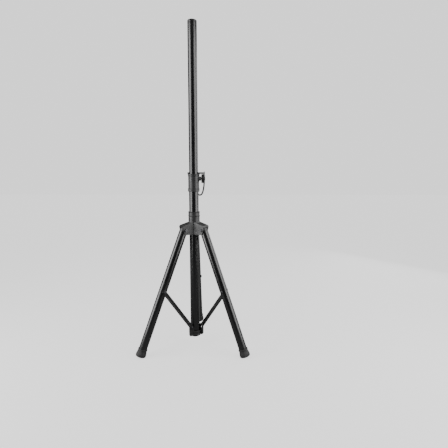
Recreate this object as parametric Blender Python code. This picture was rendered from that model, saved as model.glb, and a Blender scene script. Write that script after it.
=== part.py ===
"""Folding tripod stand that carries a loudspeaker on a telescopic pole.

Metres, +Z up. The stand is modelled in its open, standing state, round a mast
whose axis is vertical. A hub slides on the mast, three legs hinge in the hub,
and a strut ties each leg to a collar at the foot of the mast.
"""
import math

import bmesh
import bpy
from mathutils import Matrix, Vector
from mathutils.geometry import interpolate_bezier

# ---- facets ----
TUBE_SIDES = 24
PLUG_SIDES = 16
BOLT_SIDES = 12

# ---- clearances ----
GAP = 0.0003            # between two pieces that touch on the real stand
HOLE_GAP = 0.0003       # radial play of a bolt in its hole

# ---- tubes ----
MAST_OD = 0.0380
MAST_WALL = 0.0012
POLE_WALL = 0.0015
POLE_LENGTH = 0.860
POLE_OUT = 0.563        # pole showing above the collar, as it stands
LEG_OD = 0.0318
LEG_WALL = 0.0012

# ---- legs ----
LEG_AZIMUTHS = (210.0, 330.0, 90.0)
LEG_LENGTH = 0.514      # hub bolt to the end of the foot
LEG_OPEN = 21.5         # degrees from upright, standing
LEG_FOLDED = 1.3        # degrees from upright, folded
LEG_PIVOT_R = (MAST_OD + LEG_OD) / 2 + 0.0101  # hub bolt from the mast axis
LEG_TUBE_START = 0.0075  # hub bolt to the tube's upper end
FOOT_HEIGHT = 0.031
FOOT_TOP_OD = LEG_OD + 0.0047
FOOT_OD = LEG_OD + 0.0082
FOOT_ROUND = 0.008      # rounding of the foot's lower edge
FOOT_SOLE = 0.006       # rubber under the end of the tube
FOOT_WORN = 0.0006      # depth of the flat where the foot meets the floor

# ---- struts ----
STRUT_ON_LEG = 0.252    # hub bolt to the strut's bolt, along the leg
STRUT_WIDTH = 0.016
STRUT_THICKNESS = 0.0032
STRUT_FOOT_R = MAST_OD / 2 + 0.005  # lower rivet from the mast axis
STRUT_FOOT_RISE = 0.041  # lower rivet above the end of the mast
MAST_BOTTOM = 0.039     # end of the mast tube above the floor

# ---- hub ----
HUB_REACH = LEG_PIVOT_R + 0.014
HUB_WALL = 0.0031        # plate of the hub beside the leg, with the leg's clearance
HUB_WIDTH = LEG_OD + 2 * HUB_WALL
HUB_DROP = 0.0190       # hub bolt to the hub's lower face
HUB_ROOF_SLOPE = 16.0   # degrees
HUB_SIDE_SLOPE = 15.0   # degrees, lean of the wing's end
HUB_SHOULDER = 0.0275   # hub bolt to the roof's root
HUB_CORNER = 0.008
HUB_CHANNEL_GAP = 0.0005
NECK_OD = MAST_OD + 0.007
NECK_HEIGHT = 0.0430
NECK_RIDGE = 0.0015     # height and stand-out of the two ridges
NECK_RIDGE_STEP = 0.0155

# ---- upper collar ----
COLLAR_OD = MAST_OD + 0.005
COLLAR_HEIGHT = 0.0690
COLLAR_LIP = 0.003
PARK_GAP = 0.0285       # folded hub to the collar

# ---- clamp screws ----
SCREW_R = 0.003
SCREW_PITCH = 0.0010    # M6 coarse: how far one turn moves the screw
SCREW_TURNS = 2.0       # turns of the knob from clamped to free
NUT_FLATS = 0.010
NUT_HEIGHT = 0.005
BOSS_R = 0.0085
BOSS_REACH = MAST_OD / 2 + 0.010
PAD_R = 0.0045
PAD_HEIGHT = 0.0025
KNOB_FACE = BOSS_REACH + 0.0013  # knob's inner face from the mast axis
KNOB_DEPTH = 0.0150
KNOB_SPAN = 0.0345
KNOB_BARREL_R = 0.0080
KNOB_TIP_R = 0.0055
UPPER_KNOB_BELOW_TOP = 0.0180
LOWER_KNOB_BELOW_TOP = 0.0085

# ---- bolts ----
BOLT_R = 0.003
BOLT_HEAD_R = 0.0055
BOLT_HEAD_HEIGHT = 0.0030
BOLT_NUT_FLATS = 0.010
BOLT_NUT_HEIGHT = 0.0042
RIVET_R = 0.0025
RIVET_HEAD_R = 0.0050
RIVET_HEAD_HEIGHT = 0.0022

# ---- bottom collar ----
RING_R = MAST_OD / 2 + 0.0045
RING_HEIGHT = 0.0215
LUG_IN = 0.0065         # lug's inner face from the leg's mid plane
LUG_REACH = STRUT_FOOT_R + 0.007
LUG_TOP_R = 0.0085

# ---- safety pin and lanyard ----
PIN_R = 0.00325
PIN_TIP_X = -MAST_OD / 2 - 0.0056
PIN_BEND_X = MAST_OD / 2 + 0.0215  # centre line of the bent end
PIN_BEND_R = 0.0065
PIN_EYE_Y = 0.0215
PIN_EYE_R = 0.0050
PIN_EYE_WIRE = 0.0018
PIN_HOLE_PITCH = 0.080
PIN_HOLES_BELOW = 2
PIN_HOLES_ABOVE = 4
PIN_HOLE_R = 0.0037
EYE_AZIMUTH = 65.0
EYE_RISE = 0.0200       # lanyard eye above the collar's lower edge
EYE_OUT = COLLAR_OD / 2 + 0.006
EYE_R = 0.0035
EYE_WIRE = 0.0011
CORD_R = 0.0030
FERRULE_R = CORD_R + 0.0006
FERRULE_LENGTH = 0.0065

# ---- badge ----
BADGE_AT = 0.215        # hub bolt to the badge's middle, along the leg
BADGE_HEIGHT = 0.030
BADGE_HALF_ANGLE = 34.0
BADGE_THICKNESS = 0.0005

# ---- worked out from the values above ----
MAST_R = MAST_OD / 2
MAST_BORE = MAST_R - MAST_WALL
POLE_R = MAST_BORE - GAP
POLE_BORE = POLE_R - POLE_WALL
LEG_R = LEG_OD / 2
LEG_BORE = LEG_R - LEG_WALL
DOME_R = LEG_R - GAP
CHANNEL_R = LEG_R + HUB_CHANNEL_GAP
OPEN = math.radians(LEG_OPEN)
FOLDED = math.radians(LEG_FOLDED)
FOOT_R = FOOT_OD / 2

# end of the leg's centre line above the floor, so that the worn flat lies at z = 0
LEG_END_Z = ((FOOT_R - FOOT_ROUND) * math.sin(OPEN) + FOOT_ROUND * (1 - math.cos(OPEN))
             - FOOT_WORN)
PIVOT_Z = LEG_LENGTH * math.cos(OPEN) + LEG_END_Z
STRUT_FOOT_Z = MAST_BOTTOM + STRUT_FOOT_RISE
STRUT_IN = LEG_R + GAP
STRUT_OUT = STRUT_IN + STRUT_THICKNESS


def strut_reach(angle):
    """Radial distance from the strut's lower rivet out to its upper bolt."""
    return LEG_PIVOT_R + STRUT_ON_LEG * math.sin(angle) - STRUT_FOOT_R


STRUT_RISE = PIVOT_Z - STRUT_ON_LEG * math.cos(OPEN) - STRUT_FOOT_Z
STRUT_LENGTH = math.hypot(strut_reach(OPEN), STRUT_RISE)


def strut_angle(angle):
    """The strut's lean from upright when the leg leans by angle."""
    return math.asin(strut_reach(angle) / STRUT_LENGTH)


def hub_height(angle):
    """Height of the hub bolts when the legs lean by angle, struts fixed below."""
    return (STRUT_FOOT_Z + STRUT_LENGTH * math.cos(strut_angle(angle))
            + STRUT_ON_LEG * math.cos(angle))


FOLD_ANGLE = OPEN - FOLDED
HUB_TRAVEL = hub_height(FOLDED) - PIVOT_Z
STRUT_TURN = strut_angle(OPEN) - strut_angle(FOLDED) + FOLD_ANGLE

NECK_BASE = PIVOT_Z + HUB_SHOULDER
NECK_TOP = NECK_BASE + NECK_HEIGHT
HUB_BOTTOM = PIVOT_Z - HUB_DROP
COLLAR_BASE = NECK_TOP + HUB_TRAVEL + PARK_GAP
COLLAR_TOP = COLLAR_BASE + COLLAR_HEIGHT
POLE_TOP = COLLAR_TOP + POLE_OUT
PIN_Z = COLLAR_TOP + PIN_R + GAP
UPPER_KNOB_Z = COLLAR_TOP - UPPER_KNOB_BELOW_TOP
LOWER_KNOB_Z = NECK_TOP - LOWER_KNOB_BELOW_TOP


def foot_profile():
    """Outer side of the foot as (distance along the leg, radius), rim to sole."""
    top = LEG_LENGTH - FOOT_HEIGHT
    rim = 0.0012
    points = [(top, FOOT_TOP_OD / 2 - rim), (top + rim, FOOT_TOP_OD / 2),
              (top + 3 * rim, FOOT_TOP_OD / 2), (top + 4 * rim, FOOT_TOP_OD / 2 - 0.6 * rim)]
    for step in range(5):
        turn = math.radians(90 * step / 4)
        points.append((LEG_LENGTH - FOOT_ROUND * (1 - math.sin(turn)),
                       FOOT_R - FOOT_ROUND * (1 - math.cos(turn))))
    return points


def foot_reach(lean):
    """Furthest that a foot goes along a level direction, from the mast axis.

    lean is the cosine between that direction and the leg's azimuth."""
    slope = math.sin(OPEN) * lean
    return max(LEG_PIVOT_R * lean + s * slope + r * math.sqrt(1 - slope * slope)
               for s, r in foot_profile())


# the mast stands off centre, because one leg points back and two point forward
MAST_Y = -(foot_reach(1.0) - foot_reach(0.5)) / 2


# ---------------------------------------------------------------- building blocks
def clear_scene():
    for obj in list(bpy.data.objects):
        bpy.data.objects.remove(obj, do_unlink=True)


def material(name, colour, roughness, metallic=0.0):
    mat = bpy.data.materials.get(name)
    if mat is None:
        mat = bpy.data.materials.new(name)
        mat.use_nodes = True
        shader = mat.node_tree.nodes["Principled BSDF"]
        shader.inputs["Base Color"].default_value = (*colour, 1.0)
        shader.inputs["Roughness"].default_value = roughness
        shader.inputs["Metallic"].default_value = metallic
        mat.diffuse_color = (*colour, 1.0)
    return mat


def powder_coat():
    return material("powder_coat", (0.020, 0.020, 0.022), 0.36)


def moulded():
    return material("moulded_plastic", (0.026, 0.026, 0.027), 0.55)


def rubber():
    return material("rubber", (0.018, 0.018, 0.018), 0.82)


def steel():
    return material("dark_zinc", (0.16, 0.16, 0.17), 0.42, 1.0)


def cord_weave():
    return material("cord_weave", (0.015, 0.015, 0.016), 0.90)


def badge_red():
    return material("badge_red", (0.55, 0.02, 0.02), 0.35)


def empty(name, parent, matrix):
    obj = bpy.data.objects.new(name, None)
    bpy.context.collection.objects.link(obj)
    obj.parent = parent
    obj.matrix_local = matrix
    return obj


def finish(name, bm, mat, parent, matrix=None, smooth=True):
    """Turn a bmesh into a named object under its parent, faces outward."""
    bmesh.ops.recalc_face_normals(bm, faces=bm.faces)
    mesh = bpy.data.meshes.new(name)
    bm.to_mesh(mesh)
    bm.free()
    if smooth:
        mesh.shade_smooth()
        mesh.set_sharp_from_angle(angle=math.radians(35))
    mesh.materials.append(mat)
    obj = bpy.data.objects.new(name, mesh)
    bpy.context.collection.objects.link(obj)
    obj.parent = parent
    obj.matrix_local = matrix or Matrix.Identity(4)
    return obj


def revolve(bm, profile, segments, matrix=None):
    """Turn a closed (radius, height) outline about Z; points at radius 0 are poles."""
    rings = []
    for radius, height in profile:
        if radius < 1e-7:
            rings.append([bm.verts.new((0, 0, height))] * segments)
            continue
        turns = [2 * math.pi * k / segments for k in range(segments)]
        rings.append([bm.verts.new((radius * math.cos(a), radius * math.sin(a), height))
                      for a in turns])
    made = {v for ring in rings for v in ring}
    for i, ring in enumerate(rings):
        following = rings[(i + 1) % len(rings)]
        for k in range(segments):
            j = (k + 1) % segments
            corners = []
            for v in (ring[k], ring[j], following[j], following[k]):
                if v not in corners:
                    corners.append(v)
            if len(corners) > 2:
                bm.faces.new(corners)
    if matrix:
        bmesh.ops.transform(bm, matrix=matrix, verts=list(made))


def loft(bm, sections):
    """Skin a row of equal-length closed outlines and cap both ends."""
    rings = [[bm.verts.new(p) for p in section] for section in sections]
    for a, b in zip(rings, rings[1:]):
        for k in range(len(a)):
            j = (k + 1) % len(a)
            bm.faces.new((a[k], a[j], b[j], b[k]))
    bm.faces.new(rings[0])
    bm.faces.new(rings[-1])


def disc(radius, x0, x1, bevel=0.0):
    """(radius, height) outline of a solid rod from x0 to x1, its far end bevelled."""
    if bevel:
        return [(0, x0), (radius, x0), (radius, x1 - bevel), (radius - bevel, x1), (0, x1)]
    return [(0, x0), (radius, x0), (radius, x1), (0, x1)]


def tube(outer, inner, z0, z1):
    return [(inner, z0), (outer, z0), (outer, z1), (inner, z1)]


def cutter(name, bm, parent, matrix=None):
    obj = finish(name, bm, moulded(), parent, matrix, smooth=False)
    obj.hide_render = True
    obj.display_type = "WIRE"
    return obj


def combine(obj, tool, operation):
    mod = obj.modifiers.new(operation.lower(), "BOOLEAN")
    mod.operation = operation
    mod.solver = "EXACT"
    mod.object = tool


def toward(azimuth):
    """Turns +Z to point level along the azimuth, and +X to point down."""
    return (Matrix.Rotation(math.radians(azimuth), 4, "Z")
            @ Matrix.Rotation(math.radians(90), 4, "Y"))


def across():
    """Turns +Z to point along +Y."""
    return Matrix.Rotation(math.radians(-90), 4, "X")


def hexagon(bm, flats, bore, z0, z1, bevel, matrix=None):
    """A hexagon nut with a round bore and chamfered corners, along Z."""
    corner = flats / math.sqrt(3)
    outer = [(corner - bevel, z0), (corner, z0 + bevel), (corner, z1 - bevel),
             (corner - bevel, z1)]
    segments = BOLT_SIDES

    def ring(radius, height, six_sided):
        points = []
        for k in range(segments):
            a = 2 * math.pi * k / segments
            r = radius
            if six_sided:
                fold = (a + math.pi / 6) % (math.pi / 3) - math.pi / 6
                r = min(radius, flats / 2 / math.cos(math.pi / 6 - abs(fold)))
            points.append((r * math.cos(a), r * math.sin(a), height))
        return points

    rings = [ring(r, z, True) for r, z in outer]
    rings += [ring(bore, z1, False), ring(bore, z0, False)]
    verts = [[bm.verts.new(p) for p in points] for points in rings]
    for i, row in enumerate(verts):
        following = verts[(i + 1) % len(verts)]
        for k in range(segments):
            j = (k + 1) % segments
            bm.faces.new((row[k], row[j], following[j], following[k]))
    if matrix:
        bmesh.ops.transform(bm, matrix=matrix, verts=[v for row in verts for v in row])


# ---------------------------------------------------------------- mast and collars
def mast_tube(stand):
    bm = bmesh.new()
    revolve(bm, tube(MAST_R, MAST_BORE, MAST_BOTTOM, COLLAR_TOP - COLLAR_LIP - GAP), TUBE_SIDES)
    mast = finish("mast_tube", bm, powder_coat(), stand)
    bm = bmesh.new()
    revolve(bm, disc(PAD_R + GAP, MAST_BORE / 2, MAST_R + 0.004), BOLT_SIDES,
            Matrix.Translation((0, 0, UPPER_KNOB_Z)) @ toward(0))
    combine(mast, cutter("mast_pad_hole", bm, stand), "DIFFERENCE")


def mast_bottom_plug(stand):
    """Push-in end plug with a domed face."""
    fit = MAST_BORE - GAP
    face = MAST_BOTTOM - GAP
    bm = bmesh.new()
    revolve(bm, [(0, face - 0.0042), (0.010, face - 0.0040), (0.016, face - 0.0031),
                 (MAST_R - 0.0006, face - 0.0018), (MAST_R, face - 0.0008), (MAST_R, face),
                 (fit, face), (fit, face + 0.016), (fit - 0.001, face + 0.018),
                 (0.013, face + 0.018), (0.013, face + 0.002), (0, face + 0.002)], PLUG_SIDES)
    finish("mast_bottom_plug", bm, moulded(), stand)


def collar_profile():
    """Outline of the upper collar: rim, mid ridge, lower band and flare."""
    r = COLLAR_OD / 2
    z0, z1 = COLLAR_BASE, COLLAR_TOP
    bore = MAST_R + GAP
    lip = POLE_R + GAP
    return [(bore, z0), (r + 0.0006, z0), (r + 0.0012, z0 + 0.0012), (r + 0.0012, z0 + 0.0100),
            (r + 0.0018, z0 + 0.0106), (r + 0.0018, z0 + 0.0120), (r + 0.0004, z0 + 0.0128),
            (r, z0 + 0.0145), (r, z1 - 0.0105), (r + 0.0006, z1 - 0.0085), (r + 0.0006, z1 - 0.0048),
            (r + 0.0020, z1 - 0.0036), (r + 0.0022, z1 - 0.0012), (r + 0.0014, z1),
            (lip, z1), (lip, z1 - COLLAR_LIP), (bore, z1 - COLLAR_LIP)]


def clamp_boss(body, name, parent, z, azimuth):
    """Adds a round boss to a collar."""
    place = Matrix.Translation((0, 0, z)) @ toward(azimuth)
    bm = bmesh.new()
    revolve(bm, disc(BOSS_R, MAST_R + 0.0015, BOSS_REACH, 0.001), PLUG_SIDES, place)
    combine(body, cutter(name + "_boss", bm, parent), "UNION")


def clamp_pockets(body, name, parent, z, azimuth, contact_r):
    """Cuts room for the brake pad, the screw and the nut through a boss."""
    place = Matrix.Translation((0, 0, z)) @ toward(azimuth)
    inner_r = contact_r + GAP
    pad_end = inner_r + PAD_HEIGHT
    bm = bmesh.new()
    revolve(bm, [(0, inner_r / 2), (PAD_R + GAP, inner_r / 2), (PAD_R + GAP, pad_end),
                 (SCREW_R + HOLE_GAP, pad_end), (SCREW_R + HOLE_GAP, BOSS_REACH + 0.002),
                 (0, BOSS_REACH + 0.002)], BOLT_SIDES, place)
    combine(body, cutter(name + "_screw_hole", bm, parent), "DIFFERENCE")
    corner = (NUT_FLATS + 2 * GAP) / math.sqrt(3)
    turns = [2 * math.pi * k / 6 for k in range(6)]
    bm = bmesh.new()
    loft(bm, [[(corner * math.cos(a), corner * math.sin(a), z) for a in turns]
              for z in (BOSS_REACH - NUT_HEIGHT, BOSS_REACH + 0.003)])
    combine(body, cutter(name + "_nut_pocket", bm, parent, place), "DIFFERENCE")


def upper_collar(stand):
    bm = bmesh.new()
    revolve(bm, collar_profile(), TUBE_SIDES)
    collar = finish("upper_collar", bm, moulded(), stand)
    clamp_boss(collar, "upper", stand, UPPER_KNOB_Z, 0)
    clamp_pockets(collar, "upper", stand, UPPER_KNOB_Z, 0, POLE_R)
    bm = bmesh.new()
    revolve(bm, disc(EYE_WIRE + GAP, COLLAR_OD / 2 - 0.0018, COLLAR_OD / 2 + 0.006), BOLT_SIDES, eye_place())
    combine(collar, cutter("eye_hole", bm, stand), "DIFFERENCE")


def eye_place():
    return Matrix.Translation((0, 0, COLLAR_BASE + EYE_RISE)) @ toward(EYE_AZIMUTH)


def brake_pad(name, parent, z, azimuth, contact_r):
    """Nylon disc that the clamp screw presses on the tube inside."""
    bm = bmesh.new()
    revolve(bm, disc(PAD_R, contact_r + GAP, contact_r + PAD_HEIGHT, 0.0004), BOLT_SIDES,
            Matrix.Translation((0, 0, z)) @ toward(azimuth))
    finish(name, bm, moulded(), parent)


def clamp_nut(name, parent, z, azimuth):
    bm = bmesh.new()
    hexagon(bm, NUT_FLATS, SCREW_R + HOLE_GAP, BOSS_REACH - NUT_HEIGHT + GAP, BOSS_REACH, 0.0004,
            Matrix.Translation((0, 0, z)) @ toward(azimuth))
    finish(name, bm, steel(), parent, smooth=False)


def clamp_screw(name, parent, tip):
    """Steel screw, modelled along its parent empty's +Z with the mast axis at zero."""
    bm = bmesh.new()
    end = KNOB_FACE + KNOB_DEPTH - 0.005
    revolve(bm, [(0, tip), (SCREW_R - 0.0006, tip), (SCREW_R, tip + 0.0006), (SCREW_R, end), (0, end)],
            BOLT_SIDES)
    finish(name, bm, steel(), parent)


def knob_outline(grow=0.0):
    """T-knob seen end on: a round barrel with a tapering wing up and one down."""
    tip_centre = KNOB_SPAN / 2 - KNOB_TIP_R
    points = []
    for side in (1, -1):
        for step in range(7):
            a = math.radians(15 + 150 * step / 6)
            points.append((side * (tip_centre + (KNOB_TIP_R + grow) * math.sin(a)),
                           side * (KNOB_TIP_R + grow) * math.cos(a)))
        for step in range(5):
            a = math.radians(145 + 70 * step / 4)
            points.append((side * (KNOB_BARREL_R + grow) * math.sin(a),
                           side * (KNOB_BARREL_R + grow) * math.cos(a)))
    return points


def knob(name, parent):
    """Moulded T-knob along its empty's +Z, crowned on its outer face."""
    soft = 0.0014
    sections = [(-soft, KNOB_FACE), (0.0, KNOB_FACE + soft), (0.0, KNOB_FACE + 0.0095),
                (-0.0006, KNOB_FACE + 0.0118), (-0.0022, KNOB_FACE + 0.0135),
                (-0.0042, KNOB_FACE + 0.0142)]
    bm = bmesh.new()
    loft(bm, [[(x, y, z) for x, y in knob_outline(grow)] for grow, z in sections])
    body = finish(name, bm, moulded(), parent)
    bm = bmesh.new()
    revolve(bm, disc(KNOB_BARREL_R - 0.0012, KNOB_FACE + 0.006, KNOB_FACE + KNOB_DEPTH, 0.0008), PLUG_SIDES)
    combine(body, cutter(name + "_crown", bm, parent), "UNION")
    bm = bmesh.new()
    revolve(bm, disc(SCREW_R + GAP, KNOB_FACE - 0.002, KNOB_FACE + KNOB_DEPTH - 0.005 + GAP), BOLT_SIDES)
    combine(body, cutter(name + "_screw_hole", bm, parent), "DIFFERENCE")


def bottom_collar(stand):
    """Ring round the mast's end with a slotted lug beside each strut."""
    bm = bmesh.new()
    z0 = MAST_BOTTOM + 0.0008
    z1 = z0 + RING_HEIGHT
    inner = MAST_R + GAP
    revolve(bm, [(0, z0), (RING_R - 0.001, z0), (RING_R, z0 + 0.001), (RING_R, z1 - 0.001),
                 (RING_R - 0.001, z1), (0, z1)], TUBE_SIDES)
    ring = finish("bottom_collar", bm, moulded(), stand)
    drop, inward = eye_drift()
    for index, azimuth in enumerate(LEG_AZIMUTHS, 1):
        turn = Matrix.Rotation(math.radians(azimuth), 4, "Z")
        bm = bmesh.new()
        outline = lug_outline(z0 + 0.002)
        loft(bm, [[(x, LUG_IN, z) for x, z in outline],
                  [(x, STRUT_IN - GAP, z) for x, z in outline]])
        combine(ring, cutter(f"lug_{index}", bm, stand, turn), "UNION")
        bm = bmesh.new()
        outline = slot_outline(drop, inward)
        loft(bm, [[(x, LUG_IN - 0.002, z) for x, z in outline],
                  [(x, STRUT_IN + 0.002, z) for x, z in outline]])
        combine(ring, cutter(f"lug_slot_{index}", bm, stand, turn), "DIFFERENCE")
    bm = bmesh.new()
    revolve(bm, disc(inner, z0 - 0.01, STRUT_FOOT_Z + 0.05), TUBE_SIDES)
    combine(ring, cutter("bottom_collar_bore", bm, stand), "DIFFERENCE")


def lug_outline(z0):
    """Lug in the leg's plane: a flat plate with a round head about the rivet."""
    centre = (STRUT_FOOT_R - 0.001, STRUT_FOOT_Z)
    points = [(0.012, z0), (LUG_REACH - 0.004, z0), (LUG_REACH, z0 + 0.004)]
    for step in range(9):
        a = math.radians(180 * step / 8)
        points.append((centre[0] + LUG_TOP_R * math.cos(a), centre[1] + LUG_TOP_R * math.sin(a)))
    points.append((0.012, STRUT_FOOT_Z))
    return points


def eye_drift():
    """How far the strut's lower eye strays down and inward while the stand folds.

    Every joint turns in proportion to the legs, so the eye leaves its true place
    by a few millimetres half way and comes back to it at both ends."""
    worst_drop, worst_in = 0.0, 0.0
    for step in range(1, 40):
        share = step / 40
        leg = OPEN - FOLD_ANGLE * share
        strut = strut_angle(OPEN) + FOLD_ANGLE * share - STRUT_TURN * share
        r = LEG_PIVOT_R + STRUT_ON_LEG * math.sin(leg) - STRUT_LENGTH * math.sin(strut)
        z = (PIVOT_Z + HUB_TRAVEL * share - STRUT_ON_LEG * math.cos(leg)
             - STRUT_LENGTH * math.cos(strut))
        worst_drop = max(worst_drop, STRUT_FOOT_Z - z)
        worst_in = max(worst_in, STRUT_FOOT_R - r)
    return worst_drop, worst_in


def slot_outline(drop, inward):
    """Slot in the lug: the rivet's own round end, run down and inward."""
    r = RIVET_R + HOLE_GAP
    points = []
    for corner, start in (((STRUT_FOOT_R, STRUT_FOOT_Z), 0), ((STRUT_FOOT_R - inward, STRUT_FOOT_Z), 90),
                          ((STRUT_FOOT_R - inward, STRUT_FOOT_Z - drop), 180),
                          ((STRUT_FOOT_R, STRUT_FOOT_Z - drop), 270)):
        for step in range(4):
            a = math.radians(start + 90 * step / 3)
            points.append((corner[0] + r * math.cos(a), corner[1] + r * math.sin(a)))
    return points


# ---------------------------------------------------------------- pole
def pole_tube(pole):
    bottom = POLE_TOP - POLE_LENGTH
    bm = bmesh.new()
    revolve(bm, tube(POLE_R, POLE_BORE, bottom + 0.003, POLE_TOP - 0.003), TUBE_SIDES)
    body = finish("pole_tube", bm, powder_coat(), pole)
    for k in range(-PIN_HOLES_BELOW, PIN_HOLES_ABOVE + 1):
        bm = bmesh.new()
        place = Matrix.Translation((0, 0, PIN_Z + k * PIN_HOLE_PITCH)) @ toward(0)
        revolve(bm, disc(PIN_HOLE_R, -POLE_R - 0.005, POLE_R + 0.005), BOLT_SIDES, place)
        combine(body, cutter(f"pin_hole_{k + PIN_HOLES_BELOW + 1}", bm, pole), "DIFFERENCE")


def pole_plug(name, pole, face, up):
    """Push-in plug with a flange as wide as the pole; up is +1 at the top end."""
    fit = POLE_BORE - GAP
    points = [(0, 0.0), (POLE_R - 0.0018, 0.0), (POLE_R - 0.0005, -0.0005), (POLE_R, -0.0017),
              (POLE_R, -0.003 + GAP), (fit, -0.003 + GAP), (fit, -0.019), (fit - 0.001, -0.020),
              (0.012, -0.020), (0.012, -0.005), (0, -0.005)]
    bm = bmesh.new()
    revolve(bm, [(r, face + up * z) for r, z in points], PLUG_SIDES)
    finish(name, bm, moulded(), pole)


# ---------------------------------------------------------------- safety pin, lanyard
def sweep(bm, points, radii, sides):
    """A round rod along a list of points that bends only in a level plane."""
    sections = []
    for i, (point, radius) in enumerate(zip(points, radii)):
        before = Vector(points[max(i - 1, 0)])
        after = Vector(points[min(i + 1, len(points) - 1)])
        along = (after - before).normalized()
        side = along.cross(Vector((0, 0, 1))).normalized()
        up = side.cross(along)
        sections.append([Vector(point) + radius * (math.cos(a) * side + math.sin(a) * up)
                         for a in (2 * math.pi * k / sides for k in range(sides))])
    loft(bm, sections)


def torus(bm, centre, ring_r, wire_r, axis, ring_steps=14, wire_steps=6):
    """A closed ring of wire whose axis is 'X' or points along an azimuth."""
    rings = []
    for i in range(ring_steps):
        a = 2 * math.pi * i / ring_steps
        row = []
        for k in range(wire_steps):
            b = 2 * math.pi * k / wire_steps
            out = ring_r + wire_r * math.cos(b)
            row.append(bm.verts.new(Vector(centre) + axis @ Vector(
                (out * math.cos(a), out * math.sin(a), wire_r * math.sin(b)))))
        rings.append(row)
    for i in range(ring_steps):
        for k in range(wire_steps):
            a, b = rings[i], rings[(i + 1) % ring_steps]
            j = (k + 1) % wire_steps
            bm.faces.new((a[k], b[k], b[j], a[j]))


def safety_pin(pin):
    """Steel rod through the pole, its head bent back and closed into an eye."""
    centre = (PIN_BEND_X - PIN_BEND_R, PIN_BEND_R, PIN_Z)
    nose = 0.0012
    points = [(PIN_TIP_X, 0, PIN_Z), (PIN_TIP_X + nose, 0, PIN_Z)]
    for step in range(5):
        a = math.radians(-90 + 90 * step / 4)
        points.append((centre[0] + PIN_BEND_R * math.cos(a), centre[1] + PIN_BEND_R * math.sin(a), PIN_Z))
    points.append((PIN_BEND_X, PIN_EYE_Y - PIN_EYE_R, PIN_Z))
    radii = [PIN_R - nose] + [PIN_R] * (len(points) - 1)
    bm = bmesh.new()
    sweep(bm, points, radii, BOLT_SIDES)
    rod = finish("safety_pin", bm, steel(), pin)
    bm = bmesh.new()
    torus(bm, (PIN_BEND_X, PIN_EYE_Y, PIN_Z), PIN_EYE_R, PIN_EYE_WIRE,
          Matrix.Rotation(math.radians(90), 3, "Y"))
    combine(rod, cutter("pin_eye", bm, pin), "UNION")


def lanyard_eye(stand):
    """Screw eye in the collar, its ring level with the screw."""
    turn = Matrix.Rotation(math.radians(EYE_AZIMUTH), 4, "Z")
    z = COLLAR_BASE + EYE_RISE
    bm = bmesh.new()
    torus(bm, turn @ Vector((EYE_OUT, 0, z)), EYE_R, EYE_WIRE,
          turn.to_3x3() @ Matrix.Rotation(math.radians(90), 3, "X"), 14, 6)
    eye = finish("lanyard_eye", bm, steel(), stand)
    bm = bmesh.new()
    revolve(bm, disc(EYE_WIRE, COLLAR_OD / 2 - 0.0015, EYE_OUT - EYE_R), BOLT_SIDES, eye_place())
    combine(eye, cutter("eye_stem", bm, stand), "UNION")


def cord_ends():
    """Lower and upper ends of the cord, under the eye and under the pin's eye."""
    turn = math.radians(EYE_AZIMUTH)
    low = Vector((EYE_OUT * math.cos(turn), EYE_OUT * math.sin(turn),
                  COLLAR_BASE + EYE_RISE - EYE_R - EYE_WIRE - GAP))
    high = Vector((PIN_BEND_X, PIN_EYE_Y, PIN_Z - PIN_EYE_R - PIN_EYE_WIRE - GAP))
    return low, high


def ferrule(name, parent, top):
    """Crimp sleeve hanging under an eye."""
    bm = bmesh.new()
    revolve(bm, [(0, -FERRULE_LENGTH), (FERRULE_R - 0.0005, -FERRULE_LENGTH),
                 (FERRULE_R, -FERRULE_LENGTH + 0.0005), (FERRULE_R, -0.0005),
                 (FERRULE_R - 0.0005, 0), (0, 0)], BOLT_SIDES, Matrix.Translation(top))
    finish(name, bm, steel(), parent)


def lanyard(stand):
    """Free cord from the lower ferrule, down and round, up to the upper ferrule."""
    low, high = cord_ends()
    below = Vector((0, 0, FERRULE_LENGTH + GAP))
    start, end = low - below, high - below
    rise = end.z - COLLAR_BASE
    # share of the way across in x, the same in y, and height over the collar's lower edge
    way = ((0.0062, 0.065, -0.0005), (0.0927, 0.240, -0.0088), (0.2728, 0.474, -0.0140),
           (0.4875, 0.679, -0.0138), (0.6710, 0.854, -0.0087), (0.8026, 0.971, 0.0136 * rise),
           (0.8926, 1.000, 0.2217 * rise), (0.9550, 1.000, 0.4604 * rise),
           (0.9861, 1.000, 0.6991 * rise))
    route = [start]
    for across_x, across_y, height in way:
        route.append(Vector((start.x + across_x * (end.x - start.x),
                             start.y + across_y * (end.y - start.y), COLLAR_BASE + height)))
    route.append(end)
    points = smooth_route(route, 3)
    curve = bpy.data.curves.new("lanyard", "CURVE")
    curve.dimensions = "3D"
    curve.bevel_depth = CORD_R
    curve.bevel_resolution = 2
    curve.use_fill_caps = True
    spline = curve.splines.new("POLY")
    spline.points.add(len(points) - 1)
    for place, point in zip(spline.points, points):
        place.co = (*point, 1.0)
    curve.materials.append(cord_weave())
    obj = bpy.data.objects.new("lanyard", curve)
    bpy.context.collection.objects.link(obj)
    obj.parent = stand


def smooth_route(route, steps):
    """Points along a smooth curve through the route, steps to each span."""
    tangents = []
    for i in range(len(route)):
        tangents.append((route[min(i + 1, len(route) - 1)] - route[max(i - 1, 0)]) / 2)
    tangents[0] = Vector((0, 0, -tangents[0].length))
    tangents[-1] = Vector((0, 0, tangents[-1].length))
    points = []
    for i in range(len(route) - 1):
        a, b = route[i], route[i + 1]
        points += interpolate_bezier(a, a + tangents[i] / 3, b - tangents[i + 1] / 3, b, steps + 1)[:-1]
    return points + [route[-1]]


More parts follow.
